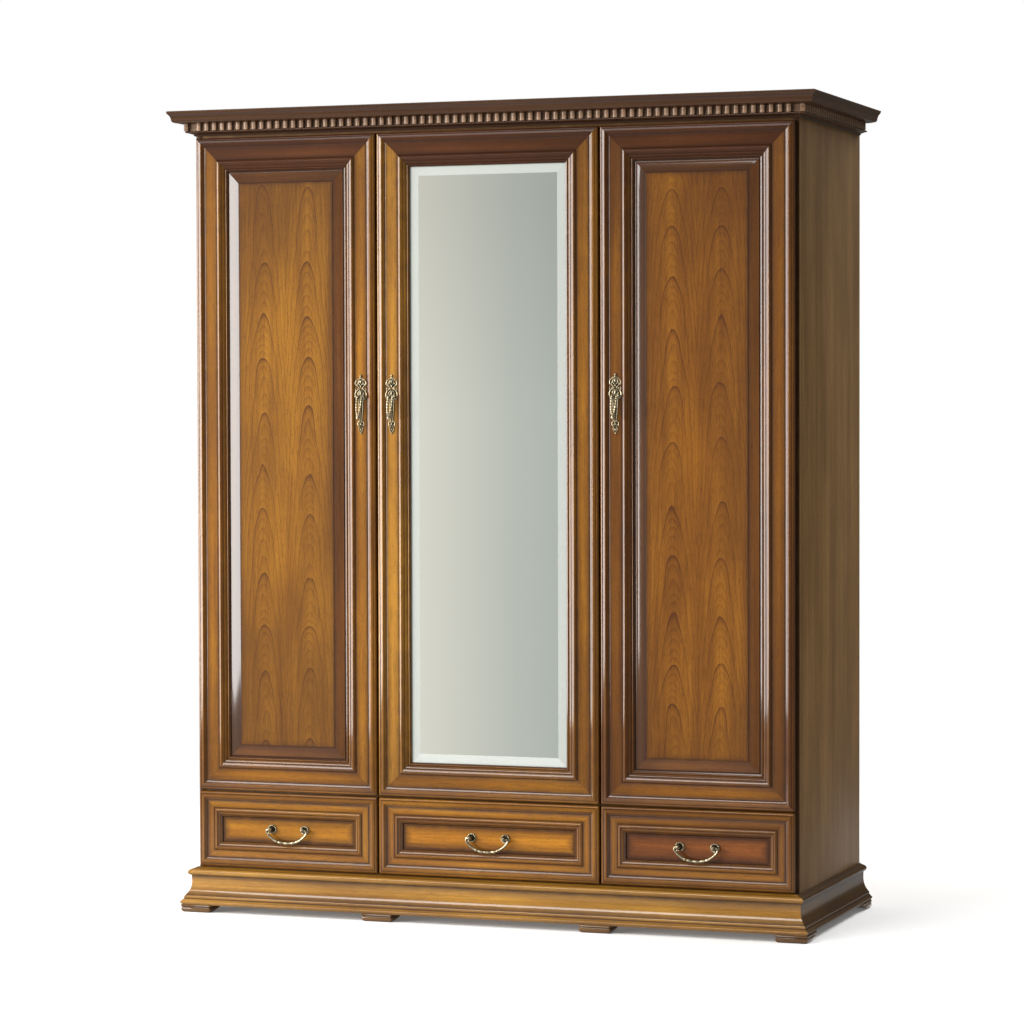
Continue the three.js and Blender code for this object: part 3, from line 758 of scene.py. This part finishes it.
def dentil_tooth(build, middle, outwards, width, depth, levels):
    """One tooth, its front rounded from side to side. outwards is the direction that it stands out in."""
    low, high = levels
    sideways = Vector((-outwards.y, outwards.x, 0))
    bulge, edge, steps = 2.2 * MM, 0.5 * MM, 6
    rows = []
    for level, pulled_in in ((low, edge), (low + edge, 0), (high, 0)):
        # Each row starts with two back corners, darkened fully as painted shade between the teeth.
        row = [dentil_point(build, middle + sideways * (s * width / 2), level, 0, 1) for s in (-1, 1)]
        for i in range(steps + 1):
            angle = math.pi * i / steps
            out = depth - bulge + bulge * math.sin(angle) ** 0.7 - pulled_in
            place = middle + sideways * (math.cos(angle) * width / 2) + outwards * out
            row.append(dentil_point(build, place, level, out, 0))
        rows.append(row)
    build.loft(rows)


def dentil_ground(build, ends, outwards, depth, levels):
    """The strip between the teeth and behind them, darkened as painted shade."""
    low, high = levels
    outline = ((0, low), (depth, low), (depth, high), (0, high))
    build.loft([[dentil_point(build, place + outwards * out, level, out, 0.45) for out, level in outline]
                for place in ends])


def corner_tooth(build, x, y, width, levels):
    """The square tooth that turns the corner of the cornice, from its outermost point inwards."""
    low, high = levels
    soft = 1.2 * MM
    x0, x1 = sorted((x, x - math.copysign(width, x)))
    build.loft([rounded_ring(build, x0 + inset, x1 - inset, y + inset, y + width - inset, z, soft, 0.1)
                for z, inset in ((low, soft / 2), (low + soft, 0), (high, 0))])


CORNICE_SHIFT = 6 * MM
PLINTH_SHIFT = 18 * MM


def make_dentils():
    """Teeth between the bed mould and the soffit, at the front and on both sides, and the band behind."""
    pitch, width, depth, ground = 22 * MM, 11 * MM, 10 * MM, 2 * MM
    plane = DENTIL_PLANE * MM
    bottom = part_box("cornice_front")[0].z
    levels = (bottom + (DENTIL_FOOT + 0.1) * MM, bottom + (SOFFIT + 0.2) * MM)
    left, right, front = LEFT - plane, RIGHT + plane, FRONT - CORNICE_SHIFT - plane
    across, back = Vector((1, 0, 0)), Vector((0, 1, 0))
    for name, x, direction, length, outwards in (
        ("front", left, across, right - left, -back),
        ("left", left, back, BACK - front, -across),
        ("right", right, back, BACK - front, across),
    ):
        in_front = name == "front"
        start = Vector((x, front, 0))
        end = start + direction * length
        count = int((length - pitch) / pitch)
        first = (length - (count - 1) * pitch) / 2 if in_front else pitch * 0.82
        reach = direction * (ground if in_front else 0)
        build = Build(f"cornice_dentils_{name}")
        dentil_ground(build, (start - reach, end + reach), outwards, ground, levels)
        for i in range(count):
            dentil_tooth(build, start + direction * (first + i * pitch), outwards, width, depth, levels)
        if in_front:
            for corner_x in (left - depth, right + depth):
                corner_tooth(build, corner_x, front - depth, depth + ground, levels)
        build.settle(DENTIL_WOOD, "carcass", "moulding_wood", crease=40)


# Levels of a foot: share of its height, inset of the sides and near face in mm, share of its depth, darkening
# by stain and painted shade.
FOOT_LEVELS = (
    (1.00, 1.2, 1.00, 0.8), (0.95, 0.2, 0.97, 0.3), (0.84, -0.8, 0.93, 0), (0.73, 0.2, 0.88, 0.4),
    (0.66, 1.6, 0.85, 1), (0.58, 0.4, 0.80, 0.3), (0.40, 0, 0.64, 0.1), (0.22, 0.8, 0.48, 0.2),
    (0.09, 2.4, 0.36, 0.4), (0.00, 5, 0.28, 0.7),
)


def make_feet():
    """Flat block feet: a bead round the top, an upright face, a rounded sole and a slope to the back."""
    corner_radius = 3 * MM
    for node in sorted(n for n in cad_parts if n.startswith("foot_")):
        (x0, y0, _), (x1, y1, top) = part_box(node)
        build = Build(f"{node}_block", log=node)
        rows = []
        for share, inset, reach, glaze in FOOT_LEVELS:
            i = inset * MM
            deep = reach * (y1 - y0)
            near, far = (y0 + i, y0 + deep) if "front" in node else (y1 - deep, y1 - max(i, 0))
            rows.append(rounded_ring(build, x0 + i, x1 - i, near, far, top * share, corner_radius, glaze))
        build.loft(rows)
        build.settle(FOOT_WOOD, "carcass", "moulding_wood", node)


# ---- doors and drawers

def field_panel(name, front_box, inset, height, material, body, slot, node, along=Z, shade=1, ends=0):
    """A flat field inside a frame, with rings near its edges, where stain and painted shade darken it. Its
    grain runs upwards from a matched middle, or sideways. Inset and height are in millimetres."""
    (x0, _, z0), (x1, back_y, z1) = front_box
    u = inset * MM
    x0, x1, z0, z1 = x0 + u, x1 - u, z0 + u, z1 - u
    middle = (x0 + x1) / 2
    half = min(x1 - x0, z1 - z0) / 2 / MM
    build = Build(name)
    if along == Z:
        build.offset.x = 0
    rows = []
    # Rings from the back edge inwards: (inset, height, darkening).
    for ring, out, glaze in ((0, 0.5, 0.5), (0, height - 0.4, 0.9), (0.5, height, 0.8), (4, height, 0.5),
                             (9, height, 0.3), (16, height, 0.18), (0.7 * half, height, 0.06),
                             (0.9 * half, height, 0)):
        i = ring * MM
        row = []
        for x, shares in ((x1 - i, STATIONS), (x0 + i, reversed(STATIONS))):
            for share in shares:
                z = z0 + i + share * (z1 - z0 - 2 * i)
                coords = (x - middle, z, out * MM) if along == Z else (z, x, out * MM)
                tone = darkest(glaze * shade, end_stain_and_shade(share, ends))
                row.append(build.add((x, back_y - out * MM, z), coords, tone))
        rows.append(row)
    build.loft(rows, close_last=False)
    last = rows[-1]
    for j in range(len(STATIONS) - 1):
        build.faces.append((last[j], last[j + 1], last[-2 - j], last[-1 - j]))
    build.settle(material, body, slot, node)


def make_door(door):
    """The frame with its handle and hinges, and a panel with a figured field or a mirror."""
    node = f"{door}_frame"
    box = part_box(node)
    mitred_frame(door, DOOR_SECTION, box, lambda side: frame_finish(door, side), door, "frame_wood", node)
    make_handle(door, box[1].y - FACE_HEIGHT * MM)
    make_hinges(door)
    panel = f"{door}_panel"
    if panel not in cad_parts:
        make_mirror(door)
        return
    mitred_frame(f"{panel}_border", PANEL_BORDER_SECTION, box, BORDER_LIT_AND_SHADED_WOODS.get, door, "panel_wood", panel)
    width = box[1].x - box[0].x - 2 * PANEL_FIELD * MM
    colours = RUSSET if door == "right_door" else GOLDEN
    material = wood(f"{door}_figured_wood", *colours, figure=width * 0.235)
    field_panel(f"{panel}_field", box, PANEL_FIELD, PANEL_HEIGHT, material, door, "panel_wood", panel,
                ends=0.30)


def make_mirror(door):
    """Silvered glass with a bevelled border, and the board behind it."""
    (x0, front, z0), (x1, _, z1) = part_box(f"{door}_mirror")
    bevel_start, bevel_end = 10.2, 32.2
    build = Build(f"{door}_mirror_glass")
    rows = []
    # Rings from the back edge to the face: (inset, depth, share of the bevel's painted reflection).
    for inset, depth, ground in ((0, 4, 1), (0, 1.4, 1), (bevel_start, 1.4, 1), (bevel_end, 0.02, 1),
                                 (bevel_end + 0.3, 0.01, 0), (bevel_end + 1, 0, 0)):
        i = inset * MM
        corners = ((x0 + i, z0 + i), (x1 - i, z0 + i), (x1 - i, z1 - i), (x0 + i, z1 - i))
        rows.append([build.add((x, front + depth * MM, z), glaze=ground) for x, z in corners])
    build.loft(rows)
    build.settle(MIRROR, door, "mirror_glass", f"{door}_mirror", crease=1)
    node = f"{door}_mirror_backing"
    board(f"{door}_mirror_board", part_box(node), Z, BACKING, door, "mirror_backing", node, bevel=0.3)


def make_drawer(drawer):
    """The moulded front with its bail, the box and the runners."""
    node = f"{drawer}_front"
    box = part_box(node)
    mitred_frame(node, DRAWER_SECTION, box, lambda side: frame_finish(drawer, side), drawer, "frame_wood",
                 node, ends=0.1)
    field_panel(f"{drawer}_field", box, DRAWER_FRAME_WIDTH + 0.1, DRAWER_FIELD_HEIGHT, FIELD_WOODS[drawer],
                drawer, "frame_wood", node, along=X, shade=2)
    make_bail(drawer, box[1].y - DRAWER_FIELD_HEIGHT * MM)
    make_drawer_box(drawer)
    make_runners(drawer)


def make_drawer_box(drawer):
    """Two sides, a back, an inner front and a bottom, in place of the one CAD solid."""
    node = f"{drawer}_box"
    (x0, y0, z0), (x1, y1, z1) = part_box(node)
    t = 12 * MM
    floor_low, floor_high = z0 + 1.8 * MM, z0 + 6 * MM
    for part, low, high, along in (
        ("side_left", (x0, y0, z0), (x0 + t, y1, z1), Y),
        ("side_right", (x1 - t, y0, z0), (x1, y1, z1), Y),
        ("inner_front", (x0 + t, y0, z0), (x1 - t, y0 + t, z1), X),
        ("back", (x0 + t, y1 - t, z0), (x1 - t, y1, z1), X),
        ("bottom", (x0 + t, y0 + t, floor_low), (x1 - t, y1 - t, floor_high), Y),
    ):
        board(f"{drawer}_{part}", (low, high), along, INSIDE_WOOD, drawer, "inside_wood", node)


# ---- handles and bails, in millimetres

def cast(build, points, centre, thick, thin, flatten=0.9, rise=1.4, knob=0, glaze=0):
    """A curl of cast metal: a tapering bar through (x, z) or (x, out, z) points on a flat face."""
    path = smooth_path([(p[0], -rise, p[1]) if len(p) == 2 else (p[0], -p[1], p[2]) for p in points], 5)
    tube(build, path, lambda t: thick + (thin - thick) * t, centre, flatten=flatten, segments=8, glaze=glaze)
    if knob:
        ball(build, path[-1], knob, centre)


def both_sides(points):
    """The points as they are, and mirrored from side to side."""
    return points, [(-p[0], *p[1:]) for p in points]


# Painted shade behind the scrolls: three thin dark ovals, as (height, radius, stretch).
PLATE_PAINTED_SHADE = ((52, 9, 1.2), (25, 10.5, 1.25), (-52, 5.4, 1.6))
# Crown, crossing, wide scrolls and lower leaf, each drawn on the right and mirrored:
# (points, thickness, thickness at the end, knob).
PLATE_CURLS = (
    ([(0.8, 67), (4.5, 64), (9.5, 61), (13.6, 56.5), (14.6, 50.8), (11.5, 47.8), (9, 50.8)], 1.8, 1.6, 2.3),
    ([(1.5, 61), (5.2, 58), (6.6, 53.5), (3.4, 49.6)], 1.5, 1.2, 1.9),
    ([(10.8, 48), (7.2, 44), (4, 40), (6.2, 37.2), (9, 39)], 1.7, 1.4, 1.7),
    ([(2.6, 40), (8, 36.5), (13, 31.5), (15.4, 24.5), (14, 17.2), (9.8, 13.4), (7.2, 16.8), (9.4, 20.6)],
     1.9, 1.9, 2.5),
    ([(1.5, 35), (5.6, 31), (7.4, 26.4), (4.4, 22.6)], 1.5, 1.2, 1.7),
    ([(11.8, 33), (14.6, 36.4), (13.4, 39.6)], 1.3, 1, 1.5),
    ([(6.8, 12.5), (6, 5), (5.4, -8), (4.6, -24), (3.4, -36), (1.8, -46)], 1.6, 1.2, 0),
    ([(2.2, -42), (6.4, -44.5), (8.8, -49), (7.4, -54), (4.6, -52.4)], 1.6, 1.3, 2),
    ([(1, -55), (4.4, -58.5), (5.2, -63.5), (3.2, -68.5), (0.5, -72.5)], 1.8, 1.5, 0),
)
CURL_SLIMMING = 0.78
KNOB_SLIMMING = 0.85
# Beads up the middle and the two finials: (height, radius, stretch).
PLATE_BEADS = ((-73.4, 1.9, 1), (-64, 2.4, 1.5), (-50.5, 2.8, 0.9), (27, 3.2, 2.2), (45, 2.5, 1.3),
               (56.5, 2.9, 1.6), (66, 2.6, 1), (71.3, 2.9, 1.15))
EYES_OUT, EYES_UP = 11, 20


def make_handle(door, face_y):
    """A pierced backplate of scrolls with finials, and the drop pull that hangs from its two eyes."""
    node = f"{door}_handle_plate"
    low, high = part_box(node)
    centre = ((low.x + high.x) / 2, face_y, (low.z + high.z) / 2)
    plate = Build(f"{door}_backplate")
    for up, radius, stretch in PLATE_PAINTED_SHADE:
        ball(plate, (0, -0.1, up), radius, centre, stretch=stretch, flat=0.1, glaze=1)
    for points, thick, thin, knob in PLATE_CURLS:
        for turned in both_sides(points):
            cast(plate, turned, centre, CURL_SLIMMING * thick, CURL_SLIMMING * thin,
                 knob=KNOB_SLIMMING * knob, glaze=0 if knob else 0.6)
    # A flat, dark stem between the pull's bars: painted shade behind them.
    cast(plate, [(0, 14), (0, -8), (0, -30), (0, -49)], centre, 6.4, 3, flatten=0.2, rise=0.8, glaze=0.95)
    for up, radius, stretch in PLATE_BEADS:
        ball(plate, (0, -1.8, up), radius, centre, stretch=stretch, flat=0.9)
    for eye in both_sides([(10.6, 1, EYES_UP - 3), (10.8, 6, EYES_UP - 1), (11, EYES_OUT, EYES_UP)]):
        cast(plate, eye, centre, 2.2, 1.8, flatten=1, knob=2.6)
    plate.settle(BRASS, door, "antique_brass", node)
    make_pull(door)


def make_pull(door):
    """A spindle between the eyes, two beaded bars that meet below it, and the bulb with its tip."""
    node = f"{door}_drop_pull"
    (x0, _, _), (x1, y1, top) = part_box(node)
    pivot = ((x0 + x1) / 2, y1 - 2 * MM, top - 2 * MM)
    half = [(1.7, -9.4), (1.7, -7.6), (2.6, -6.8), (2.6, -5.6), (1.5, -4.6)]
    pull = Build(f"{door}_pull")
    lathe(pull, [*half, (1.2, 0), *((radius, -along) for radius, along in reversed(half))], pivot, X, 14)
    beads = 8
    bar = [(6, 0, -1), (6.2, 3.4, -10), (5.8, 7.4, -24), (4.2, 11, -38), (1.6, 13.2, -48)]
    for points in both_sides(bar):
        path = smooth_path([(x, -out, z) for x, out, z in points], 16)
        tube(pull, path, lambda t: 1.7 + 1.25 * math.sin(math.pi * (t * beads % 1)) ** 2, pivot, segments=8)
    for out, up, radius, stretch in ((13.4, -48.6, 3, 0.8), (13.8, -54, 4.7, 1.1), (13.9, -59.2, 1.8, 1)):
        ball(pull, (0, -out, up), radius, pivot, stretch=stretch)
    pull.settle(BRASS, f"{door}_pull", "antique_brass", node)


# A rosette and the post in its middle: (radius, distance along the post's axis).
ROSETTE_SECTION = (
    (11.6, 0), (11.8, -0.9), (10.6, -2.3), (9.2, -2.5), (8, -1.5), (5.4, -1.2), (4.8, -2.6), (3.6, -3.6),
    (2.9, -6), (2.9, -8.6), (4.4, -9.8), (5.3, -12.6), (5.3, -15), (4.2, -17.6), (1.9, -18.9), (1.5, -19.6),
    (0.6, -20.2),
)
POST_SPREAD = 45
BAIL_OUT = 14
BAIL_REACH = 50.6
BAIL_ARM = ((50.6, 0), (54.2, -0.8), (55, -6), (50, -13.8), (41.1, -21.6), (31.6, -27.4), (20.6, -31.4))
BAIL_LOW = -33.4
TURNED_SHARE = 0.30


def bail_radius(t):
    """Slim arms that swell towards the turned beads in the middle."""
    from_middle = abs(t - 0.5) * 2
    if from_middle < TURNED_SHARE:
        return 2.7 + 1.2 * abs(math.cos(math.pi * from_middle / TURNED_SHARE * 2.5))
    return 3.5 - 0.9 * from_middle + 0.9 * max(0, from_middle - 0.8) / 0.2


def make_bail(drawer, face_y):
    """Two petalled rosettes with their posts, and the swinging bail with a turned middle."""
    node = f"{drawer}_bail"
    low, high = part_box(node)
    middle = (low.x + high.x) / 2
    up = high.z - 2.6 * MM
    mount = Build(f"{drawer}_rosettes")
    for side in (-1, 1):
        centre = (middle + side * POST_SPREAD * MM, face_y, up)
        lathe(mount, ROSETTE_SECTION, centre, Y, 32)
        for cosine, sine in circle(14):
            ball(mount, (10 * cosine, -2.1, 10 * sine), 2.1, centre, flat=0.9)
    mount.settle(BRASS, drawer, "antique_brass", f"{drawer}_front")

    swing = Build(f"{drawer}_swing")
    centre = (middle, face_y - BAIL_OUT * MM, up)
    arm, other_arm = both_sides([(x, 0, z) for x, z in BAIL_ARM])
    path = smooth_path([*arm, (0, 0, BAIL_LOW), *reversed(other_arm)], 9)
    tube(swing, path, bail_radius, centre, segments=10)
    ends = ((BAIL_REACH + 2.5, 0, -9.5), (BAIL_REACH - 2.2, 1, -9), (BAIL_REACH - 3.2, 1, -6.2))
    for side, curl in zip((1, -1), both_sides(ends)):
        ball(swing, (side * (BAIL_REACH + 0.6), 0, 0), 3.1, centre)
        cast(swing, curl, centre, 1.7, 1.2, flatten=1, knob=1.7)
    swing.settle(BRASS, f"{drawer}_handle", "antique_brass", node)


# ---- hinges, runners and fittings

SCREW_SECTION = ((1, 0), (1, 0.35), (0.8, 0.55), (0.45, 0.7), (0.2, 0.35))


def screw_head(build, centre, radius, axis, sign):
    """A domed screw head that looks along an axis, forwards or backwards."""
    lathe(build, [(r * radius, sign * out * radius) for r, out in SCREW_SECTION], centre, axis, 12)


def slab(build, wall, towards, near, far, y0, y1, middle, half, bevel):
    """A steel block that stands off a wall, from near to far, and reaches half above and below a height."""
    x0, x1 = sorted((wall + towards * near * MM, wall + towards * far * MM))
    reach = half * MM
    rounded_block(build, Vector((x0, y0, middle - reach)), Vector((x1, y1, middle + reach)), bevel * MM)


CUP_SECTION = ((20.5, 0), (20.5, 0.9), (19.2, 1.3), (17.6, 1.3), (17, 0.6), (14, 0.3))
CUP_FROM_EDGE = 23 * MM
CUP_PLATE = 1.1
ARM_WALL = 7.2
ARM_DEPTH = 13


def make_hinges(door):
    """Concealed hinges: a screwed plate and channel arm on the upright, a cup on the door, two links."""
    (door_x0, _, _), (door_x1, back_y, _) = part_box(f"{door}_frame")
    towards = 1 if door == "left_door" else -1
    cup_x = (door_x0 if towards > 0 else door_x1) + towards * CUP_FROM_EDGE
    for place in ("bottom", "middle", "top"):
        node = f"{door}_hinge_arm_{place}"
        low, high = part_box(node)
        z = (low.z + high.z) / 2
        face = low.x if towards > 0 else high.x
        plate_y = high.y - 9 * MM
        arm = Build(f"{node}_steel")
        slab(arm, face, towards, 0.05, 2.2, plate_y - 32 * MM, plate_y, z, 24, 0.8)
        slab(arm, face, towards, 2.2, 4, low.y, high.y, z, 8, 0.5)
        for edge in (-ARM_WALL, ARM_WALL):
            slab(arm, face, towards, 4, ARM_DEPTH, low.y, high.y - 6 * MM, z + edge * MM, 0.8, 0.4)
        slab(arm, face, towards, 11.5, ARM_DEPTH, low.y + 16 * MM, high.y - 10 * MM, z, 7.6, 0.5)
        for up in (-17, 17):
            screw_head(arm, (face + towards * 2.2 * MM, plate_y - 16 * MM, z + up * MM), 4, X, towards)
        for deep in (28, 44):
            screw_head(arm, (face + towards * ARM_DEPTH * MM, low.y + deep * MM, z), 3.2, X, towards)
        arm.settle(STEEL, "carcass", "hinge_steel", node, crease=40)

        cup = Build(f"{door}_hinge_cup_{place}")
        lathe(cup, CUP_SECTION, (cup_x, back_y, z), Y, 36)
        slab(cup, cup_x, 1, -6, 6, back_y, back_y + CUP_PLATE * MM, z, 28, 0.5)
        for up in (-23.5, 23.5):
            screw_head(cup, (cup_x, back_y + CUP_PLATE * MM, z + up * MM), 3.4, Y, 1)
        cup.settle(STEEL, door, "hinge_steel", crease=40)
        for number, (out, up) in enumerate(((5, -3.4), (8, 3.4)), 1):
            make_link(f"{door}_hinge_link_{place}_{number}", face + towards * out * MM,
                      back_y + 0.4 * MM, low.y + 9 * MM, z + up * MM)


def make_link(name, x, y0, y1, z):
    """A strip from the cup to the arm, from the door's back to the carcass."""
    half_thickness, half_height, steps = 1.1 * MM, 2.6 * MM, 16
    link = Build(name)
    link.loft([[link.add((x + sx * half_thickness, y0 + (y1 - y0) * i / steps, z + sz * half_height))
                for sx, sz in ((-1, -1), (1, -1), (1, 1), (-1, 1))] for i in range(steps + 1)])
    piece = link.finish(STEEL)
    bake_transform(piece)


def make_channel(name, body, wall, towards, near, far, y0, y1, z, height, screws=()):
    """A C-shaped steel rail along Y: a web against the wood, screwed to it, and two lips away from it."""
    steel = 1.3
    rail = Build(name)
    slab(rail, wall, towards, near, near + steel, y0, y1, z, height / 2, 0.3)
    for edge in (-1, 1):
        lip_z = z + edge * (height - steel) / 2 * MM
        slab(rail, wall, towards, near + steel, far, y0, y1, lip_z, steel / 2, 0.3)
    for y in screws:
        screw_head(rail, (wall + towards * (near + steel) * MM, y, z), 4, X, towards)
    rail.settle(STEEL, body, "hinge_steel", crease=40)


def make_runners(drawer):
    """Side-mounted runners: one channel on the cabinet and a slimmer one on the drawer, each side."""
    (x0, y0, z0), (x1, y1, _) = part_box(f"{drawer}_box")
    z = z0 + 60 * MM
    space = 13 * MM
    screws = [y0 + deep * MM for deep in (60, 200, 360)]
    for side, wall, towards in (("left", x0, 1), ("right", x1, -1)):
        make_channel(f"{drawer}_cabinet_runner_{side}", "carcass", wall - towards * space, towards, 0.2, 9.5,
                     y0 + 22 * MM, y1 + 20 * MM, z, 42, screws)
        make_channel(f"{drawer}_drawer_runner_{side}", drawer, wall, -towards, 0.1, 8,
                     y0 + 4 * MM, y1 - 2 * MM, z, 33)


FLANGE_SECTION = ((21.4, 0.05), (21.4, 2.2), (20.4, 3), (15.6, 3.4), (14.6, 4.2), (14.6, 9), (13.6, 10),
                  (12.5, 10.2))
PIN_SECTION = ((2.4, 0.9), (2.4, 0), (3.6, -0.4), (3.6, -1.6), (2.4, -2.2), (2.4, -8), (1.6, -8.8))
NAILS_PER_EDGE = 13


def make_fittings():
    """The hanging rail with its end brackets, shelf pins and the nails of the back boards."""
    low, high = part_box("hanging_rail")
    half = (high.x - low.x) / 2 / MM
    rail = Build("hanging_rail_tube")
    section = [(r, d - half) for r, d in FLANGE_SECTION]
    lathe(rail, [*section, *((r, -d) for r, d in reversed(section))], (low + high) / 2, X, 40)
    rail.settle(CHROME, "carcass", "rail_steel", "hanging_rail")

    pins = Build("shelf_pins")
    for node in SHELVES:
        (x0, y0, z0), (x1, y1, _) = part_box(node)
        for x, outwards in ((x0, -1), (x1, 1)):
            for y in (y0 + 60 * MM, y1 - 60 * MM):
                lathe(pins, [(r, d * outwards) for r, d in PIN_SECTION], (x, y, z0 - 3.7 * MM), X, 14)
    pins.settle(STEEL, "carcass", "hinge_steel")

    nails = Build("back_panel_nails")
    for node in BACK_BOARDS:
        (x0, _, z0), (x1, y1, z1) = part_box(node)
        for x in (x0 + 6 * MM, x1 - 6 * MM):
            for i in range(NAILS_PER_EDGE):
                z = z0 + 20 * MM + (z1 - z0 - 40 * MM) * i / (NAILS_PER_EDGE - 1)
                screw_head(nails, (x, y1 - 0.2 * MM, z), 1.6, Y, 1)
    nails.settle(STEEL, "carcass", "hinge_steel")


# ---- camera, floor and light

CAMERA_PLACE = (2.9496, -8.2902, 1.3035)
CAMERA_AZIMUTH = 19.81
CAMERA_TILT = -1.79
CAMERA_ROLL = -0.16
CAMERA_LENS = 120.2


def make_camera():
    data = bpy.data.cameras.new("camera")
    data.lens = CAMERA_LENS
    data.sensor_width = 36
    data.clip_end = 200
    camera = linked("camera", data)
    turn = Matrix.Rotation(math.radians(CAMERA_AZIMUTH), 4, "Z")
    tilt = Matrix.Rotation(math.radians(90 + CAMERA_TILT), 4, "X")
    roll = Matrix.Rotation(math.radians(CAMERA_ROLL), 4, "Z")
    camera.matrix_world = Matrix.Translation(CAMERA_PLACE) @ turn @ tilt @ roll
    bpy.context.scene.camera = camera


def area_light(name, place, target, width, height, power, colour=(1, 1, 1)):
    """A rectangle of light of the given size in metres and power in watts."""
    data = bpy.data.lights.new(name, "AREA")
    data.shape = "RECTANGLE"
    data.size = width
    data.size_y = height
    data.energy = power
    data.color = colour
    lamp = linked(name, data)
    lamp.location = place
    lamp.rotation_mode = "QUATERNION"
    lamp.rotation_quaternion = (Vector(target) - Vector(place)).to_track_quat("-Z", "Y")


FLOOR_NEAR = 1.7
FLOOR_FAR = 3.6


def make_floor():
    """A pale round floor that fades out into the white surroundings."""
    mesh = bpy.data.meshes.new("floor")
    work = bmesh.new()
    bmesh.ops.create_circle(work, cap_ends=True, segments=96, radius=FLOOR_FAR)
    work.to_mesh(mesh)
    work.free()
    n = Finish("floor_paint")
    place = n.place()
    cloud = n.noise(place, scale=0.8, detail=2)
    distance = n.new("VectorMath", {0: place}, operation="LENGTH").outputs["Value"]
    fade = n.new("MapRange", {0: distance, 1: FLOOR_NEAR, 2: FLOOR_FAR, 3: 1, 4: 0},
                 interpolation_type="SMOOTHERSTEP")
    colour = n.mix(cloud, (0.80, 0.80, 0.80), (0.82, 0.82, 0.82))
    glow = n.mix(cloud, (1, 1, 1), (0.98, 0.98, 0.98))
    mesh.materials.append(n.set(Base_Color=colour, Roughness=0.65, Alpha=fade.outputs[0], Emission_Color=glow,
                                Emission_Strength=0.12))
    linked("floor", mesh)


# Degrees to the left of straight in front of the doors, and the colour of the room there.
ROOM_ROUND = (
    (-180, (0.17, 0.155, 0.13)), (-138, (0.15, 0.14, 0.12)), (-115, (0.60, 0.60, 0.57)),
    (-75, (0.60, 0.60, 0.57)), (-50, (0.17, 0.17, 0.16)), (3, (0.36, 0.38, 0.36)), (8, (0.72, 0.74, 0.71)),
    (14, (0.72, 0.74, 0.71)),
    (17, (0.46, 0.495, 0.46)), (19, (0.50, 0.53, 0.49)), (22.5, (0.84, 0.80, 0.71)), (25, (0.50, 0.50, 0.47)),
    (60, (0.52, 0.52, 0.50)), (120, (0.40, 0.40, 0.38)), (180, (0.17, 0.155, 0.13)),
)
# Sine of the height above the horizon, and the share of that colour which is left.
ROOM_UP = ((-1, 1), (0, 1), (0.07, 0.84), (0.12, 0.86), (0.18, 1.1), (0.26, 0.5), (0.70, 0.5), (1, 0.6))
CEILING = (0.95, 0.95, 0.93)
CEILING_FROM = 0.62
CEILING_TO = 0.90


def make_world():
    """A studio, brightest to the left of the doors and dark on their right, white behind the object."""
    world = bpy.data.worlds.new("studio")
    bpy.context.scene.world = world
    n = Nodes(world)
    x, y, z = n.split(n.new("TexCoord").outputs["Generated"])
    azimuth = n.math("ARCTAN2", n.times(x, -1), n.times(y, -1))
    turn = n.math("MULTIPLY_ADD", azimuth, 0.5 / math.pi, 0.5)
    up = n.math("MULTIPLY_ADD", z, 0.5, 0.5)
    walls = n.ramp(turn, *((degrees / 360 + 0.5, colour) for degrees, colour in ROOM_ROUND))
    shares = n.ramp(up, *((sine / 2 + 0.5, share) for sine, share in ROOM_UP))
    above = n.new("MapRange", {0: z, 1: CEILING_FROM, 2: CEILING_TO}).outputs[0]
    colour = n.mix(above, n.mix(1, walls, shares, "MULTIPLY"), CEILING)
    room = n.new("Background", {0: colour})
    white = n.new("Background", {0: (1, 1, 1, 1)})
    seen = n.new("MixShader", {0: n.new("LightPath").outputs["Is Camera Ray"], 1: room.outputs[0],
                               2: white.outputs[0]})
    n.new("OutputWorld", {0: seen.outputs[0]})


WINDOW_COLOUR = (1, 0.99, 0.97)


def make_studio():
    make_camera()
    make_floor()
    make_world()
    area_light("left_window", (-4.6, -5.1, 1.5), (0, -5.1, 1.5), 4.4, 2.9, 900, WINDOW_COLOUR)
    area_light("front_softbox", (-2, -4.6, 4.6), (0, 0, 0.8), 3.2, 1.4, 230)
    area_light("side_window", (-4.6, -1.65, 1.5), (0, -1.65, 1.5), 2.5, 2.9, 300, WINDOW_COLOUR)
    area_light("back_softbox", (2.6, 3.6, 4.4), (0.4, 0, 1), 2.4, 2, 260)
    bpy.context.scene.view_settings.view_transform = "Standard"


# ---- assembly

make_studio()
make_carcass()
surround("plinth", plinth_section, PLINTH_SHIFT, PLINTH_WOOD, PLINTH_SIDE_WOOD_AND_SHADE)
surround("cornice", cornice_section, CORNICE_SHIFT, CORNICE_WOOD, CORNICE_WOOD)
make_dentils()
make_feet()
make_fittings()
for door in DOORS:
    make_door(door)
for drawer in DRAWERS:
    make_drawer(drawer)
